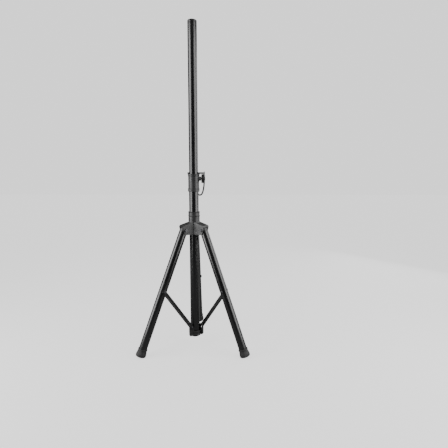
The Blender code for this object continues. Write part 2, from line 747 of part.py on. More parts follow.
# ---------------------------------------------------------------- hub
def wing_outline():
    """One wing in the leg's plane, from inside the neck out and back, heights from the bolt."""
    slope = math.tan(math.radians(HUB_ROOF_SLOPE))
    side = math.tan(math.radians(HUB_SIDE_SLOPE))
    root = NECK_OD / 2
    corner_z = HUB_SHOULDER - (HUB_REACH - root) * slope
    low_r = HUB_REACH - (corner_z + HUB_DROP) * side
    start = 0.4 * root
    top = (start, HUB_SHOULDER + (root - start) * slope)
    points = [(start, -HUB_DROP)]
    points += rounded((start, -HUB_DROP), (low_r, -HUB_DROP), (HUB_REACH, corner_z), 0.005)
    points += rounded((low_r, -HUB_DROP), (HUB_REACH, corner_z), top, HUB_CORNER)
    points.append(top)
    return points


def rounded(before, corner, after, radius, steps=5):
    """Arc that rounds a corner of an outline."""
    a, b, c = Vector(before), Vector(corner), Vector(after)
    u, v = (a - b).normalized(), (c - b).normalized()
    half = u.angle(v) / 2
    reach = radius / math.tan(half)
    centre = b + (u + v).normalized() * radius / math.sin(half)
    first, last = b + u * reach - centre, b + v * reach - centre
    turn = first.angle_signed(last)
    return [tuple(centre + Matrix.Rotation(-turn * k / steps, 2) @ first) for k in range(steps + 1)]


def channel_cutter(parent, azimuth):
    """Room for the leg: a vertical trough under an arch that slopes with the roof."""
    slope = math.tan(math.radians(HUB_ROOF_SLOPE))
    rise = 1 / math.cos(math.radians(HUB_ROOF_SLOPE))
    stations = [(-CHANNEL_R * math.cos(a), CHANNEL_R * math.sin(a))
                for a in (math.radians(10 + 80 * k / 4) for k in range(5))]
    stations.append((HUB_REACH, CHANNEL_R))
    sections = []
    for d, half in stations:
        top = -max(d, 0) * slope
        arch = [(d + LEG_PIVOT_R, half * math.cos(a), top + half * rise * math.sin(a))
                for a in (math.radians(180 * k / 10) for k in range(11))]
        floor = -2 * HUB_DROP - HUB_REACH
        sections.append([(d + LEG_PIVOT_R, half, floor)] + arch + [(d + LEG_PIVOT_R, -half, floor)])
    bm = bmesh.new()
    loft(bm, sections)
    return cutter(f"channel_{azimuth:.0f}", bm, parent, Matrix.Rotation(math.radians(azimuth), 4, "Z"))


def hub_shell(hub):
    """Moulded hub: a ridged neck, three wings, and an arched channel for each leg."""
    r = NECK_OD / 2
    top = NECK_TOP - PIVOT_Z
    bore = MAST_R + GAP
    ridge = NECK_RIDGE
    lower = top - NECK_RIDGE_STEP
    bm = bmesh.new()
    revolve(bm, [(0, -HUB_DROP + ridge), (r, -HUB_DROP + ridge), (r, lower - ridge), (r + ridge, lower - 0.8 * ridge),
                 (r + ridge, lower), (r, lower + 0.2 * ridge), (r, top - 1.2 * ridge),
                 (r + ridge, top - ridge), (r + ridge, top - 0.2 * ridge), (r + 0.8 * ridge, top),
                 (0, top)], TUBE_SIDES)
    body = finish("hub_shell", bm, moulded(), hub)
    for index, azimuth in enumerate(LEG_AZIMUTHS, 1):
        bm = bmesh.new()
        outline = wing_outline()
        loft(bm, [[(x, -HUB_WIDTH / 2, z) for x, z in outline],
                  [(x, HUB_WIDTH / 2, z) for x, z in outline]])
        wing = cutter(f"wing_{index}", bm, hub, Matrix.Rotation(math.radians(azimuth), 4, "Z"))
        round_edges = wing.modifiers.new("round", "BEVEL")
        round_edges.width = 0.0022
        round_edges.segments = 2
        round_edges.limit_method = "ANGLE"
        round_edges.angle_limit = math.radians(50)
        combine(body, wing, "UNION")
    clamp_boss(body, "lower", hub, LOWER_KNOB_Z - PIVOT_Z, 90)
    for azimuth in LEG_AZIMUTHS:
        combine(body, channel_cutter(hub, azimuth), "DIFFERENCE")
    bm = bmesh.new()
    revolve(bm, disc(bore, -HUB_DROP - 0.02, top + 0.02), TUBE_SIDES)
    combine(body, cutter("hub_bore", bm, hub), "DIFFERENCE")
    clamp_pockets(body, "lower", hub, LOWER_KNOB_Z - PIVOT_Z, 90, MAST_R)
    for index, azimuth in enumerate(LEG_AZIMUTHS, 1):
        bm = bmesh.new()
        revolve(bm, disc(BOLT_R + HOLE_GAP, -HUB_WIDTH, HUB_WIDTH), BOLT_SIDES, bolt_place(azimuth))
        combine(body, cutter(f"pivot_hole_{index}", bm, hub), "DIFFERENCE")
    # the wings' lower faces lie in one plane, which the exact solver leaves torn
    for mod in body.modifiers:
        mod.solver = "MANIFOLD"


def bolt_place(azimuth):
    """Turns +Z to run through the wing's two plates at its bolt."""
    return (Matrix.Rotation(math.radians(azimuth), 4, "Z")
            @ Matrix.Translation((LEG_PIVOT_R, 0, 0)) @ across())


def bolt(name, parent, place, head_face, end):
    """Pan-headed bolt along +Z of its place; the head is at the low end."""
    low = -head_face - GAP
    bm = bmesh.new()
    revolve(bm, [(0, low - BOLT_HEAD_HEIGHT + 0.0008), (0.0022, low - BOLT_HEAD_HEIGHT + 0.0008),
                 (0.0022, low - BOLT_HEAD_HEIGHT), (BOLT_HEAD_R - 0.0014, low - BOLT_HEAD_HEIGHT),
                 (BOLT_HEAD_R, low - BOLT_HEAD_HEIGHT + 0.0014), (BOLT_HEAD_R, low), (BOLT_R, low),
                 (BOLT_R, end - 0.0005), (BOLT_R - 0.0005, end), (0, end)], BOLT_SIDES, place)
    finish(name, bm, steel(), parent)


def nut(name, parent, place, face):
    bm = bmesh.new()
    hexagon(bm, BOLT_NUT_FLATS, BOLT_R + HOLE_GAP, face + GAP, face + GAP + BOLT_NUT_HEIGHT, 0.0004, place)
    finish(name, bm, steel(), parent, smooth=False)


# ---------------------------------------------------------------- legs and struts
def leg_tube(name, leg):
    """Round tube hanging from its empty, drilled across for the strut's bolt."""
    bm = bmesh.new()
    revolve(bm, tube(LEG_R, LEG_BORE, -LEG_LENGTH + FOOT_SOLE, -LEG_TUBE_START), TUBE_SIDES)
    body = finish(name, bm, powder_coat(), leg)
    bm = bmesh.new()
    revolve(bm, disc(BOLT_R + HOLE_GAP, -LEG_R - 0.005, LEG_R + 0.005), BOLT_SIDES,
            Matrix.Translation((0, 0, -STRUT_ON_LEG)) @ across())
    combine(body, cutter(name + "_hole", bm, leg), "DIFFERENCE")


def top_plug(name, leg):
    """Plug with a round head about the hub bolt and a spigot in the tube."""
    fit = LEG_BORE - GAP
    points = [(0, -0.034), (fit - 0.001, -0.034), (fit, -0.033), (fit, -LEG_TUBE_START + GAP),
              (DOME_R, -LEG_TUBE_START + GAP)]
    for step in range(6):
        a = math.radians(90 * step / 5)
        points.append((DOME_R * math.cos(a), DOME_R * math.sin(a)))
    bm = bmesh.new()
    revolve(bm, points, PLUG_SIDES)
    body = finish(name, bm, moulded(), leg)
    bm = bmesh.new()
    revolve(bm, disc(BOLT_R + HOLE_GAP, -LEG_R - 0.005, LEG_R + 0.005), BOLT_SIDES, across())
    combine(body, cutter(name + "_hole", bm, leg), "DIFFERENCE")


def foot(name, leg):
    """Rubber foot on the tube's end, with a small flat that stands on the floor."""
    bore = LEG_R + GAP
    points = [(r, -s) for s, r in foot_profile()]
    points += [(0, -LEG_LENGTH), (0, -LEG_LENGTH + FOOT_SOLE - GAP), (bore, -LEG_LENGTH + FOOT_SOLE - GAP),
               (bore, -LEG_LENGTH + FOOT_HEIGHT)]
    bm = bmesh.new()
    revolve(bm, points, TUBE_SIDES)
    body = finish(name, bm, rubber(), leg)
    wear = bmesh.new()
    size = 0.08
    bmesh.ops.create_cube(wear, size=size)
    upright = Matrix.Translation((0, 0, -PIVOT_Z - size / 2))
    ground = Matrix.Rotation(OPEN, 4, "Y") @ upright @ Matrix.Translation((leg_end_r(), 0, 0))
    combine(body, cutter(name + "_worn", wear, leg, ground), "DIFFERENCE")


def leg_end_r():
    """Foot's end from the hub bolt, measured level."""
    return LEG_LENGTH * math.sin(OPEN)


def strut_bar(name, strut):
    """Flat bar beside the leg with an eye at each end and pressed-in edges."""
    half = STRUT_WIDTH / 2
    ends = []
    for step in range(9):
        a = math.radians(180 * step / 8)
        ends.append((half * math.cos(a), half * math.sin(a)))
    for step in range(9):
        a = math.radians(180 + 180 * step / 8)
        ends.append((half * math.cos(a), -STRUT_LENGTH + half * math.sin(a)))
    bm = bmesh.new()
    edge = 0.0006

    def shrunk(y, by):
        scale = (half - by) / half
        points = []
        for x, z in ends:
            base = 0 if z > -STRUT_LENGTH / 2 else -STRUT_LENGTH
            points.append((x * scale, y, base + (z - base) * scale))
        return points

    loft(bm, [shrunk(STRUT_IN, edge), shrunk(STRUT_IN + edge, 0), shrunk(STRUT_OUT - edge, 0),
              shrunk(STRUT_OUT, edge)])
    body = finish(name, bm, powder_coat(), strut)
    for label, z, radius in (("upper", 0.0, BOLT_R), ("lower", -STRUT_LENGTH, RIVET_R)):
        bm = bmesh.new()
        revolve(bm, disc(radius + HOLE_GAP, STRUT_IN - 0.003, STRUT_OUT + 0.003), BOLT_SIDES,
                Matrix.Translation((0, 0, z)) @ across())
        combine(body, cutter(f"{name}_{label}_eye", bm, strut), "DIFFERENCE")


def strut_rivet(name, strut):
    """Rivet from the strut's lower eye into the collar's lug."""
    face = STRUT_OUT + GAP
    bm = bmesh.new()
    revolve(bm, [(0, LUG_IN - 0.0010), (RIVET_R - 0.0005, LUG_IN - 0.0010), (RIVET_R, LUG_IN - 0.0005),
                 (RIVET_R, face), (RIVET_HEAD_R, face), (RIVET_HEAD_R - 0.0003, face + 0.0009),
                 (RIVET_HEAD_R - 0.0018, face + 0.0019), (0, face + RIVET_HEAD_HEIGHT)], BOLT_SIDES,
            Matrix.Translation((0, 0, -STRUT_LENGTH)) @ across())
    finish(name, bm, steel(), strut)


def badge(leg):
    """Plain curved badge stuck on the back leg's outer face."""
    inner = LEG_R + GAP
    outer = inner + BADGE_THICKNESS
    steps = 12
    turns = [math.radians(-BADGE_HALF_ANGLE + 2 * BADGE_HALF_ANGLE * k / steps) for k in range(steps + 1)]
    outline = [(outer * math.cos(a), outer * math.sin(a)) for a in turns]
    outline += [(inner * math.cos(a), inner * math.sin(a)) for a in reversed(turns)]
    low, high = -BADGE_AT - BADGE_HEIGHT / 2, -BADGE_AT + BADGE_HEIGHT / 2
    bm = bmesh.new()
    loft(bm, [[(x, y, low) for x, y in outline], [(x, y, high) for x, y in outline]])
    finish("badge", bm, badge_red(), leg)


def leg_set(hub, index, azimuth):
    """One leg with its plug, foot, strut and fasteners, on its two hinge empties."""
    hinge = (Matrix.Rotation(math.radians(azimuth), 4, "Z") @ Matrix.Translation((LEG_PIVOT_R, 0, 0))
             @ Matrix.Rotation(-OPEN, 4, "Y"))
    leg = empty(f"leg_{index}_fold", hub, hinge)
    leg_tube(f"leg_{index}_tube", leg)
    top_plug(f"leg_{index}_top_plug", leg)
    foot(f"leg_{index}_foot", leg)
    at_strut = Matrix.Translation((0, 0, -STRUT_ON_LEG)) @ across()
    end = STRUT_OUT + 2 * GAP + BOLT_NUT_HEIGHT + 0.001
    bolt(f"leg_{index}_strut_bolt", leg, at_strut, LEG_R, end)
    nut(f"leg_{index}_strut_nut", leg, at_strut, STRUT_OUT)
    tilt = (Matrix.Translation((0, 0, -STRUT_ON_LEG))
            @ Matrix.Rotation(OPEN + strut_angle(OPEN), 4, "Y"))
    strut = empty(f"strut_{index}_hinge", leg, tilt)
    strut_bar(f"strut_{index}_bar", strut)
    strut_rivet(f"strut_{index}_rivet", strut)
    end = HUB_WIDTH / 2 + GAP + BOLT_NUT_HEIGHT + 0.001
    bolt(f"leg_{index}_pivot_bolt", hub, bolt_place(azimuth), HUB_WIDTH / 2, end)
    nut(f"leg_{index}_pivot_nut", hub, bolt_place(azimuth), HUB_WIDTH / 2)
    return leg


def clamp(prefix, parent, z, azimuth, tube_r, bush_r):
    """Clamp screw with its nut, pad and knob; the empty lies on the screw's axis."""
    brake_pad(f"{prefix}_brake_pad", parent, z, azimuth, tube_r)
    clamp_nut(f"{prefix}_clamp_nut", parent, z, azimuth)
    axis = empty(f"{prefix}_knob_turn", parent, Matrix.Translation((0, 0, z)) @ toward(azimuth))
    clamp_screw(f"{prefix}_clamp_screw", axis, bush_r)
    knob(f"{prefix}_knob", axis)


def build():
    clear_scene()
    stand = empty("stand", None, Matrix.Translation((0, MAST_Y, 0)))
    mast_tube(stand)
    mast_bottom_plug(stand)
    upper_collar(stand)
    bottom_collar(stand)
    clamp("upper", stand, UPPER_KNOB_Z, 0, POLE_R, POLE_R + PAD_HEIGHT + GAP)
    lanyard_eye(stand)
    low, high = cord_ends()
    ferrule("lanyard_ferrule_lower", stand, low)
    lanyard(stand)

    pole = empty("pole_slide", stand, Matrix.Identity(4))
    pole_tube(pole)
    pole_plug("pole_top_cap", pole, POLE_TOP, 1)
    pole_plug("pole_bottom_plug", pole, POLE_TOP - POLE_LENGTH, -1)

    pin = empty("pin_pull", stand, Matrix.Identity(4))
    safety_pin(pin)
    ferrule("lanyard_ferrule_upper", pin, high)

    hub = empty("hub_slide", stand, Matrix.Translation((0, 0, PIVOT_Z)))
    hub_shell(hub)
    clamp("lower", hub, LOWER_KNOB_Z - PIVOT_Z, 90, MAST_R, MAST_R + PAD_HEIGHT + GAP)
    legs = [leg_set(hub, index, azimuth) for index, azimuth in enumerate(LEG_AZIMUTHS, 1)]
    badge(legs[2])
    bpy.context.view_layer.update()


build()
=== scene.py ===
"""A folding tripod stand for a loudspeaker, standing open on a pale studio floor."""
import math

import bmesh
import bpy
import numpy as np
from mathutils import Matrix, Vector


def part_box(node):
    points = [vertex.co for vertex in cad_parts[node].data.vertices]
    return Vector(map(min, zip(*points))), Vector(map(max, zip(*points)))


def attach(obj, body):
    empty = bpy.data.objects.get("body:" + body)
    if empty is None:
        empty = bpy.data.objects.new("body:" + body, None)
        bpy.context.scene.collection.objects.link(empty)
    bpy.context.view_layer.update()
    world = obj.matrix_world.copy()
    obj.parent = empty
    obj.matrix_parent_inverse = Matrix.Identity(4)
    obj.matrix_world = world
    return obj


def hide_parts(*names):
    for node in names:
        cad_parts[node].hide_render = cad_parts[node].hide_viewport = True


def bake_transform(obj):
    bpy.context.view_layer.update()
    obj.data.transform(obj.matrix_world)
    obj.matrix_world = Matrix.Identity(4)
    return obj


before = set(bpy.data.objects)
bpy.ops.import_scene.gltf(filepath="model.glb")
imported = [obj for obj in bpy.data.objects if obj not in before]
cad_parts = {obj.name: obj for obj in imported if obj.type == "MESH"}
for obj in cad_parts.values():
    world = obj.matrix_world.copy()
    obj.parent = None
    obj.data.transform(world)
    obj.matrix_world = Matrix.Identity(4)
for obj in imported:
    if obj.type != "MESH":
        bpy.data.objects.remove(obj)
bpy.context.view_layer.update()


# ---- camera ----
# A wide view from about the collar's height, a little to the right of the mast,
# looking slightly down. Every position is counted from the mast's own axis.
def corners_of(node):
    """The low and the high corner of a CAD node's box."""
    return [Vector(corner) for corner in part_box(node)]


def linked(name, data):
    """A new object in the scene that holds the data."""
    obj = bpy.data.objects.new(name, data)
    bpy.context.collection.objects.link(obj)
    return obj


mast_low, mast_high = corners_of("mast_tube")
AXIS = Vector(((mast_low.x + mast_high.x) / 2, (mast_low.y + mast_high.y) / 2, 0.0))

camera_data = bpy.data.cameras.new("camera")
camera_data.lens = 27.0
camera_data.sensor_width = 36.0
camera = linked("camera", camera_data)
camera.location = AXIS + Vector((0.1191, -1.3322, 0.6787))
camera.rotation_euler = (math.radians(90 - 7.51), math.radians(-0.05), 0.0)
bpy.context.scene.camera = camera


# ---- studio ----
# Tall soft boxes left and right of the camera leave a dark gap between them, so each
# tube shows two long highlights round a black middle. A third lights it from behind.
WHITE = (1, 1, 1, 1)


def put(node, values):
    """Sets a node's inputs, each by its name or number."""
    for label, value in values.items():
        node.inputs[label].default_value = value


def new_material(name):
    """A material with its node tree and its main shader."""
    mat = bpy.data.materials.new(name)
    mat.use_nodes = True
    return mat, mat.node_tree, mat.node_tree.nodes["Principled BSDF"]


def studio_floor():
    """Pale matt floor that the camera sees a little brighter than the lamps alone make it."""
    mat, tree, shader = new_material("studio_floor")
    put(shader, {"Base Color": (0.16, 0.16, 0.16, 1), "Roughness": 0.8, "Emission Color": WHITE})
    glow = tree.nodes.new("ShaderNodeMath")
    glow.operation = "MULTIPLY"
    put(glow, {1: 1.3})
    ray_kind = tree.nodes.new("ShaderNodeLightPath")
    tree.links.new(ray_kind.outputs["Is Camera Ray"], glow.inputs[0])
    tree.links.new(glow.outputs[0], shader.inputs["Emission Strength"])
    return mat


def soft_box(name, azimuth, distance, height, size, power):
    """A rectangular light on a circle round the mast, azimuth counted from the camera."""
    data = bpy.data.lights.new(name, "AREA")
    data.shape = "RECTANGLE"
    data.size, data.size_y = size
    data.energy = power
    lamp = linked(name, data)
    turn = math.radians(azimuth)
    lamp.location = AXIS + Vector((distance * math.sin(turn), -distance * math.cos(turn), height))
    aim = AXIS + Vector((0, 0, 0.65)) - lamp.location
    lamp.rotation_euler = aim.to_track_quat("-Z", "Y").to_euler()


soft_box("soft_box_left", -66, 1.25, 0.95, (1.0, 1.8), 44)
soft_box("soft_box_right", 68, 1.25, 0.95, (1.1, 1.8), 34)
soft_box("soft_box_rear", 128, 1.9, 1.00, (1.5, 1.8), 22)

FLOOR_HALF = 14.0
floor_mesh = bpy.data.meshes.new("floor")
floor_mesh.from_pydata([(-FLOOR_HALF, -FLOOR_HALF, 0), (FLOOR_HALF, -FLOOR_HALF, 0),
                        (FLOOR_HALF, FLOOR_HALF, 0), (-FLOOR_HALF, FLOOR_HALF, 0)],
                       [], [(0, 1, 2, 3)])
floor = linked("floor", floor_mesh)
floor_mesh.materials.append(studio_floor())

world = bpy.data.worlds.new("studio")
bpy.context.scene.world = world
world.use_nodes = True
world_nodes, world_links = world.node_tree.nodes, world.node_tree.links
world_nodes.clear()
seen = world_nodes.new("ShaderNodeBackground")
put(seen, {"Color": WHITE, "Strength": 1.35})
ceiling = world_nodes.new("ShaderNodeBackground")
put(ceiling, {"Color": WHITE})
ray = world_nodes.new("ShaderNodeTexCoord")
way = world_nodes.new("ShaderNodeSeparateXYZ")
rise = world_nodes.new("ShaderNodeMapRange")
put(rise, {"From Min": 0.45, "From Max": 0.85, "To Min": 0.02, "To Max": 0.9})
light_path = world_nodes.new("ShaderNodeLightPath")
choice = world_nodes.new("ShaderNodeMixShader")
world_out = world_nodes.new("ShaderNodeOutputWorld")
for source, target in (
        (ray.outputs["Generated"], way.inputs[0]), (way.outputs["Z"], rise.inputs["Value"]),
        (rise.outputs["Result"], ceiling.inputs["Strength"]),
        (light_path.outputs["Is Camera Ray"], choice.inputs[0]), (ceiling.outputs[0], choice.inputs[1]),
        (seen.outputs[0], choice.inputs[2]), (choice.outputs[0], world_out.inputs["Surface"])):
    world_links.new(source, target)


# ---- lanyard ----
# A braided cord that keeps the pin with the stand. It hangs from a crimp sleeve
# under the eye on the collar and rises to another under the pin's own eye.
collar_low, collar_high = corners_of("upper_collar")
pin_low, pin_high = corners_of("safety_pin")
CORD_R = 0.0030
FERRULE_R = 0.0036
GAP = 0.0003
DUST = (0.32, 0.31, 0.29, 1)


def group(name, inputs, outputs):
    """An empty shader node group with float or colour sockets."""
    tree = bpy.data.node_groups.new(name, "ShaderNodeTree")
    for label, value in inputs:
        socket = tree.interface.new_socket(label, in_out="INPUT", socket_type="NodeSocketFloat")
        socket.default_value = value
    for label, kind in outputs:
        tree.interface.new_socket(label, in_out="OUTPUT", socket_type=kind)
    return tree, tree.nodes.new("NodeGroupInput"), tree.nodes.new("NodeGroupOutput")


def math_node(tree, operation, a, b):
    """The result of a sum on two values, each a number or another node's output."""
    node = tree.nodes.new("ShaderNodeMath")
    node.operation = operation
    for slot, value in zip(node.inputs, (a, b)):
        if isinstance(value, (int, float)):
            slot.default_value = value
        else:
            tree.links.new(value, slot)
    return node.outputs[0]


def mixed(tree, a, b, factor):
    """A colour from a to b by the factor; each is a constant or another node's output."""
    node = tree.nodes.new("ShaderNodeMix")
    node.data_type = "RGBA"
    for label, value in (("A", a), ("B", b), ("Factor", factor)):
        if isinstance(value, tuple):
            node.inputs[label].default_value = value
        else:
            tree.links.new(value, node.inputs[label])
    return node.outputs["Result"]


def add_bump(tree, shader, height, strength, distance):
    """Tilts the shader's normal by a height."""
    bump = tree.nodes.new("ShaderNodeBump")
    put(bump, {"Strength": strength, "Distance": distance})
    tree.links.new(height, bump.inputs["Height"])
    tree.links.new(bump.outputs["Normal"], shader.inputs["Normal"])


def fine_grain_group():
    """Surface grain at two sizes: a fine stipple, and a slow drift over the piece.

    Height is stipple plus a little drift. Drift alone varies gloss and colour."""
    tree, given, out = group("fine_grain", [("Stipple", 1600.0), ("Drift", 30.0)],
                             [("Height", "NodeSocketFloat"), ("Drift", "NodeSocketFloat")])
    place = tree.nodes.new("ShaderNodeTexCoord")
    stipple = tree.nodes.new("ShaderNodeTexNoise")
    drift = tree.nodes.new("ShaderNodeTexNoise")
    put(stipple, {"Detail": 2.0})
    put(drift, {"Detail": 5.0})
    for texture, label in ((stipple, "Stipple"), (drift, "Drift")):
        tree.links.new(place.outputs["Object"], texture.inputs["Vector"])
        tree.links.new(given.outputs[label], texture.inputs["Scale"])
    height = math_node(tree, "ADD", stipple.outputs["Fac"],
                       math_node(tree, "MULTIPLY", drift.outputs["Fac"], 0.4))
    tree.links.new(height, out.inputs["Height"])
    tree.links.new(drift.outputs["Fac"], out.inputs["Drift"])
    return tree


def handling_group():
    """Handling marks: how worn each edge is, and where dust lies.

    Wear is the mesh's own 'edge' value sharpened by noise; Dust grows on faces that look up."""
    tree, given, out = group("handling", [("Reach", 0.35)],
                             [("Wear", "NodeSocketFloat"), ("Dust", "NodeSocketFloat")])
    place = tree.nodes.new("ShaderNodeTexCoord")
    edge = tree.nodes.new("ShaderNodeAttribute")
    edge.attribute_name = "edge"
    noise = tree.nodes.new("ShaderNodeTexNoise")
    put(noise, {"Scale": 140.0, "Detail": 6.0})
    tree.links.new(place.outputs["Object"], noise.inputs["Vector"])
    broken = math_node(tree, "MULTIPLY", edge.outputs["Fac"], noise.outputs["Fac"])
    wear = math_node(tree, "SUBTRACT", broken, given.outputs["Reach"])
    wear = math_node(tree, "MULTIPLY", wear, 4.0)
    wear = math_node(tree, "MINIMUM", math_node(tree, "MAXIMUM", wear, 0.0), 1.0)
    shape = tree.nodes.new("ShaderNodeNewGeometry")
    parts = tree.nodes.new("ShaderNodeSeparateXYZ")
    tree.links.new(shape.outputs["Normal"], parts.inputs[0])
    up = math_node(tree, "MAXIMUM", parts.outputs["Z"], 0.0)
    dust = math_node(tree, "MULTIPLY", math_node(tree, "POWER", up, 3.0), noise.outputs["Fac"])
    tree.links.new(wear, out.inputs["Wear"])
    tree.links.new(dust, out.inputs["Dust"])
    return tree


FINE_GRAIN = fine_grain_group()
HANDLING = handling_group()


def finish_material(name, colour, worn, roughness, metallic=0.0, stipple=1600.0, depth=0.00004,
                    drift=30.0, dust=0.04, reach=0.35, coat=0.0, specular=0.5):
    """A solid finish: grain in the bump, drift in the gloss, worn edges and a little dust."""
    mat, tree, shader = new_material(name)
    put(shader, {"Metallic": metallic, "Specular IOR Level": specular, "Coat Weight": coat,
                 "Coat Roughness": 0.22})
    grain = tree.nodes.new("ShaderNodeGroup")
    grain.node_tree = FINE_GRAIN
    put(grain, {"Stipple": stipple, "Drift": drift})
    marks = tree.nodes.new("ShaderNodeGroup")
    marks.node_tree = HANDLING
    put(marks, {"Reach": reach})
    add_bump(tree, shader, grain.outputs["Height"], 0.5, depth)
    gloss = math_node(tree, "ADD", roughness - 0.09,
                      math_node(tree, "MULTIPLY", grain.outputs["Drift"], 0.18))
    tree.links.new(gloss, shader.inputs["Roughness"])
    ground = mixed(tree, (*colour, 1), (*worn, 1), marks.outputs["Wear"])
    dusty = mixed(tree, ground, DUST, math_node(tree, "MULTIPLY", marks.outputs["Dust"], dust))
    tree.links.new(dusty, shader.inputs["Base Color"])
    return mat


def braid_material():
    """Braided polyester: two sets of slanting strands from the cord's own UV map."""
    mat, tree, shader = new_material("braided_cord")
    put(shader, {"Roughness": 0.82, "Sheen Weight": 0.04})
    place = tree.nodes.new("ShaderNodeUVMap")
    place.uv_map = "along"
    heights = []
    for lean in (1.0, -1.0):
        turn = tree.nodes.new("ShaderNodeMapping")
        put(turn, {"Rotation": (0, 0, lean * math.radians(45))})
        tree.links.new(place.outputs["UV"], turn.inputs["Vector"])
        strand = tree.nodes.new("ShaderNodeTexWave")
        strand.wave_type = "BANDS"
        put(strand, {"Scale": 1.3})
        tree.links.new(turn.outputs["Vector"], strand.inputs["Vector"])
        heights.append(strand.outputs["Fac"])
    height = math_node(tree, "MAXIMUM", heights[0], heights[1])
    add_bump(tree, shader, height, 0.8, 0.0004)
    tone = mixed(tree, (0.0015, 0.0015, 0.0018, 1), (0.008, 0.008, 0.009, 1), height)
    tree.links.new(tone, shader.inputs["Base Color"])
    return mat


POWDER = finish_material("black_powder_coat", (0.0035, 0.0035, 0.0038), (0.03, 0.03, 0.031), 0.25,
                         stipple=1900.0, depth=0.00003, drift=14.0, dust=0.012, specular=0.55)
PLASTIC = finish_material("moulded_black", (0.0085, 0.0085, 0.0088), (0.030, 0.030, 0.030), 0.46,
                          stipple=2600.0, depth=0.00006, drift=40.0, dust=0.02)
RUBBER = finish_material("black_rubber", (0.007, 0.007, 0.007), (0.026, 0.026, 0.025), 0.66,
                         stipple=1300.0, depth=0.00008, drift=60.0, dust=0.05, reach=0.28)
ZINC = finish_material("black_zinc", (0.045, 0.045, 0.048), (0.22, 0.22, 0.23), 0.34, metallic=1.0,
                       stipple=2200.0, depth=0.00002, drift=90.0, dust=0.01)
OXIDE = finish_material("black_oxide", (0.006, 0.006, 0.0065), (0.06, 0.06, 0.062), 0.34,
                        stipple=2400.0, depth=0.00002, drift=80.0, dust=0.01)
HANDLE = finish_material("handle_plastic", (0.0040, 0.0040, 0.0042), (0.020, 0.020, 0.020), 0.42,
                         stipple=2600.0, depth=0.00006, drift=45.0, dust=0.015, specular=0.4)
BRAID = braid_material()


def read(items, field, width, kind=float):
    """A field of every item of a mesh as an array, with one row an item if it is wider than 1."""
    values = np.empty(len(items) * width, kind)
    items.foreach_get(field, values)
    return values.reshape(-1, width) if width > 1 else values


def mark_edges(mesh):
    """Stores 'edge': how far a vertex's neighbours fall away below its own tangent plane.

    It is 0 on flat and hollow places and 1 on a tight outer edge."""
    count = len(mesh.vertices)
    places, normals = read(mesh.vertices, "co", 3), read(mesh.vertex_normals, "vector", 3)
    pairs = read(mesh.edges, "vertices", 2, int)
    both = np.vstack([pairs, pairs[:, ::-1]])
    step = places[both[:, 1]] - places[both[:, 0]]
    length = np.linalg.norm(step, axis=1) + 1e-12
    fall = -(step * normals[both[:, 0]]).sum(axis=1) / length
    total = np.bincount(both[:, 0], fall, count)
    number = np.bincount(both[:, 0], minlength=count) + 1e-9
    value = np.clip(total / number * 3.0, 0, 1)
    attribute = mesh.attributes.new("edge", "FLOAT", "POINT")
    attribute.data.foreach_set("value", value.astype(np.float32))


def settle(name, mesh, material, body, nodes=(), smooth_angle=40.0):
    """Puts a finished mesh in the scene on its body, in place of its CAD nodes."""
    mesh.materials.clear()
    mesh.materials.append(material)
    mesh.shade_smooth()
    mesh.set_sharp_from_angle(angle=math.radians(smooth_angle))
    if "edge" not in mesh.attributes:
        mark_edges(mesh)
    piece = linked(f"{name}_surface", mesh)
    if body:
        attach(piece, body)
    if nodes:
        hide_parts(*nodes)
    return piece


def arc(start, end, count):
    """Angles in radians from start to end, both given in degrees."""
    return np.radians(np.linspace(start, end, count))


def full_turn(count):
    """Angles in radians, evenly round a circle from 0."""
    return np.linspace(0, 2 * np.pi, count, endpoint=False)


def skin(name, rings, joined=False):
    """A mesh over rings of points, shape (rings, points, 3), each ring closed on itself.

    Joined runs the last ring back to the first; otherwise both ends close on their middles."""
    rings = np.asarray(rings, float)
    count, around = rings.shape[:2]
    verts = rings.reshape(-1, 3)
    i, k = np.meshgrid(np.arange(count if joined else count - 1), np.arange(around), indexing="ij")
    following, beside = (i + 1) % count, (k + 1) % around
    faces = np.stack([i * around + k, i * around + beside, following * around + beside,
                      following * around + k], axis=-1).reshape(-1, 4).tolist()
    if not joined:
        verts = np.vstack([verts, rings[0].mean(axis=0), rings[-1].mean(axis=0)])
        last, first_hub, last_hub = (count - 1) * around, count * around, count * around + 1
        turn = range(around)
        faces += [(first_hub, (k + 1) % around, k) for k in turn]
        faces += [(last_hub, last + k, last + (k + 1) % around) for k in turn]
    mesh = bpy.data.meshes.new(name)
    mesh.from_pydata(verts.tolist(), [], faces)
    return mesh


def face_out(mesh):
    """Turns every face outward if the shape came out inside out, by the sign of its volume."""
    mesh.calc_loop_triangles()
    triangles = read(mesh.loop_triangles, "vertices", 3, int)
    a, b, c = read(mesh.vertices, "co", 3)[triangles].transpose(1, 0, 2)
    if (a * np.cross(b, c)).sum() < 0:
        mesh.flip_normals()
    return mesh


def closed_skin(name, rings, place, joined=False):
    """A skin over rings, put in its place and facing out."""
    mesh = skin(name, rings, joined)
    mesh.transform(place)
    return face_out(mesh)


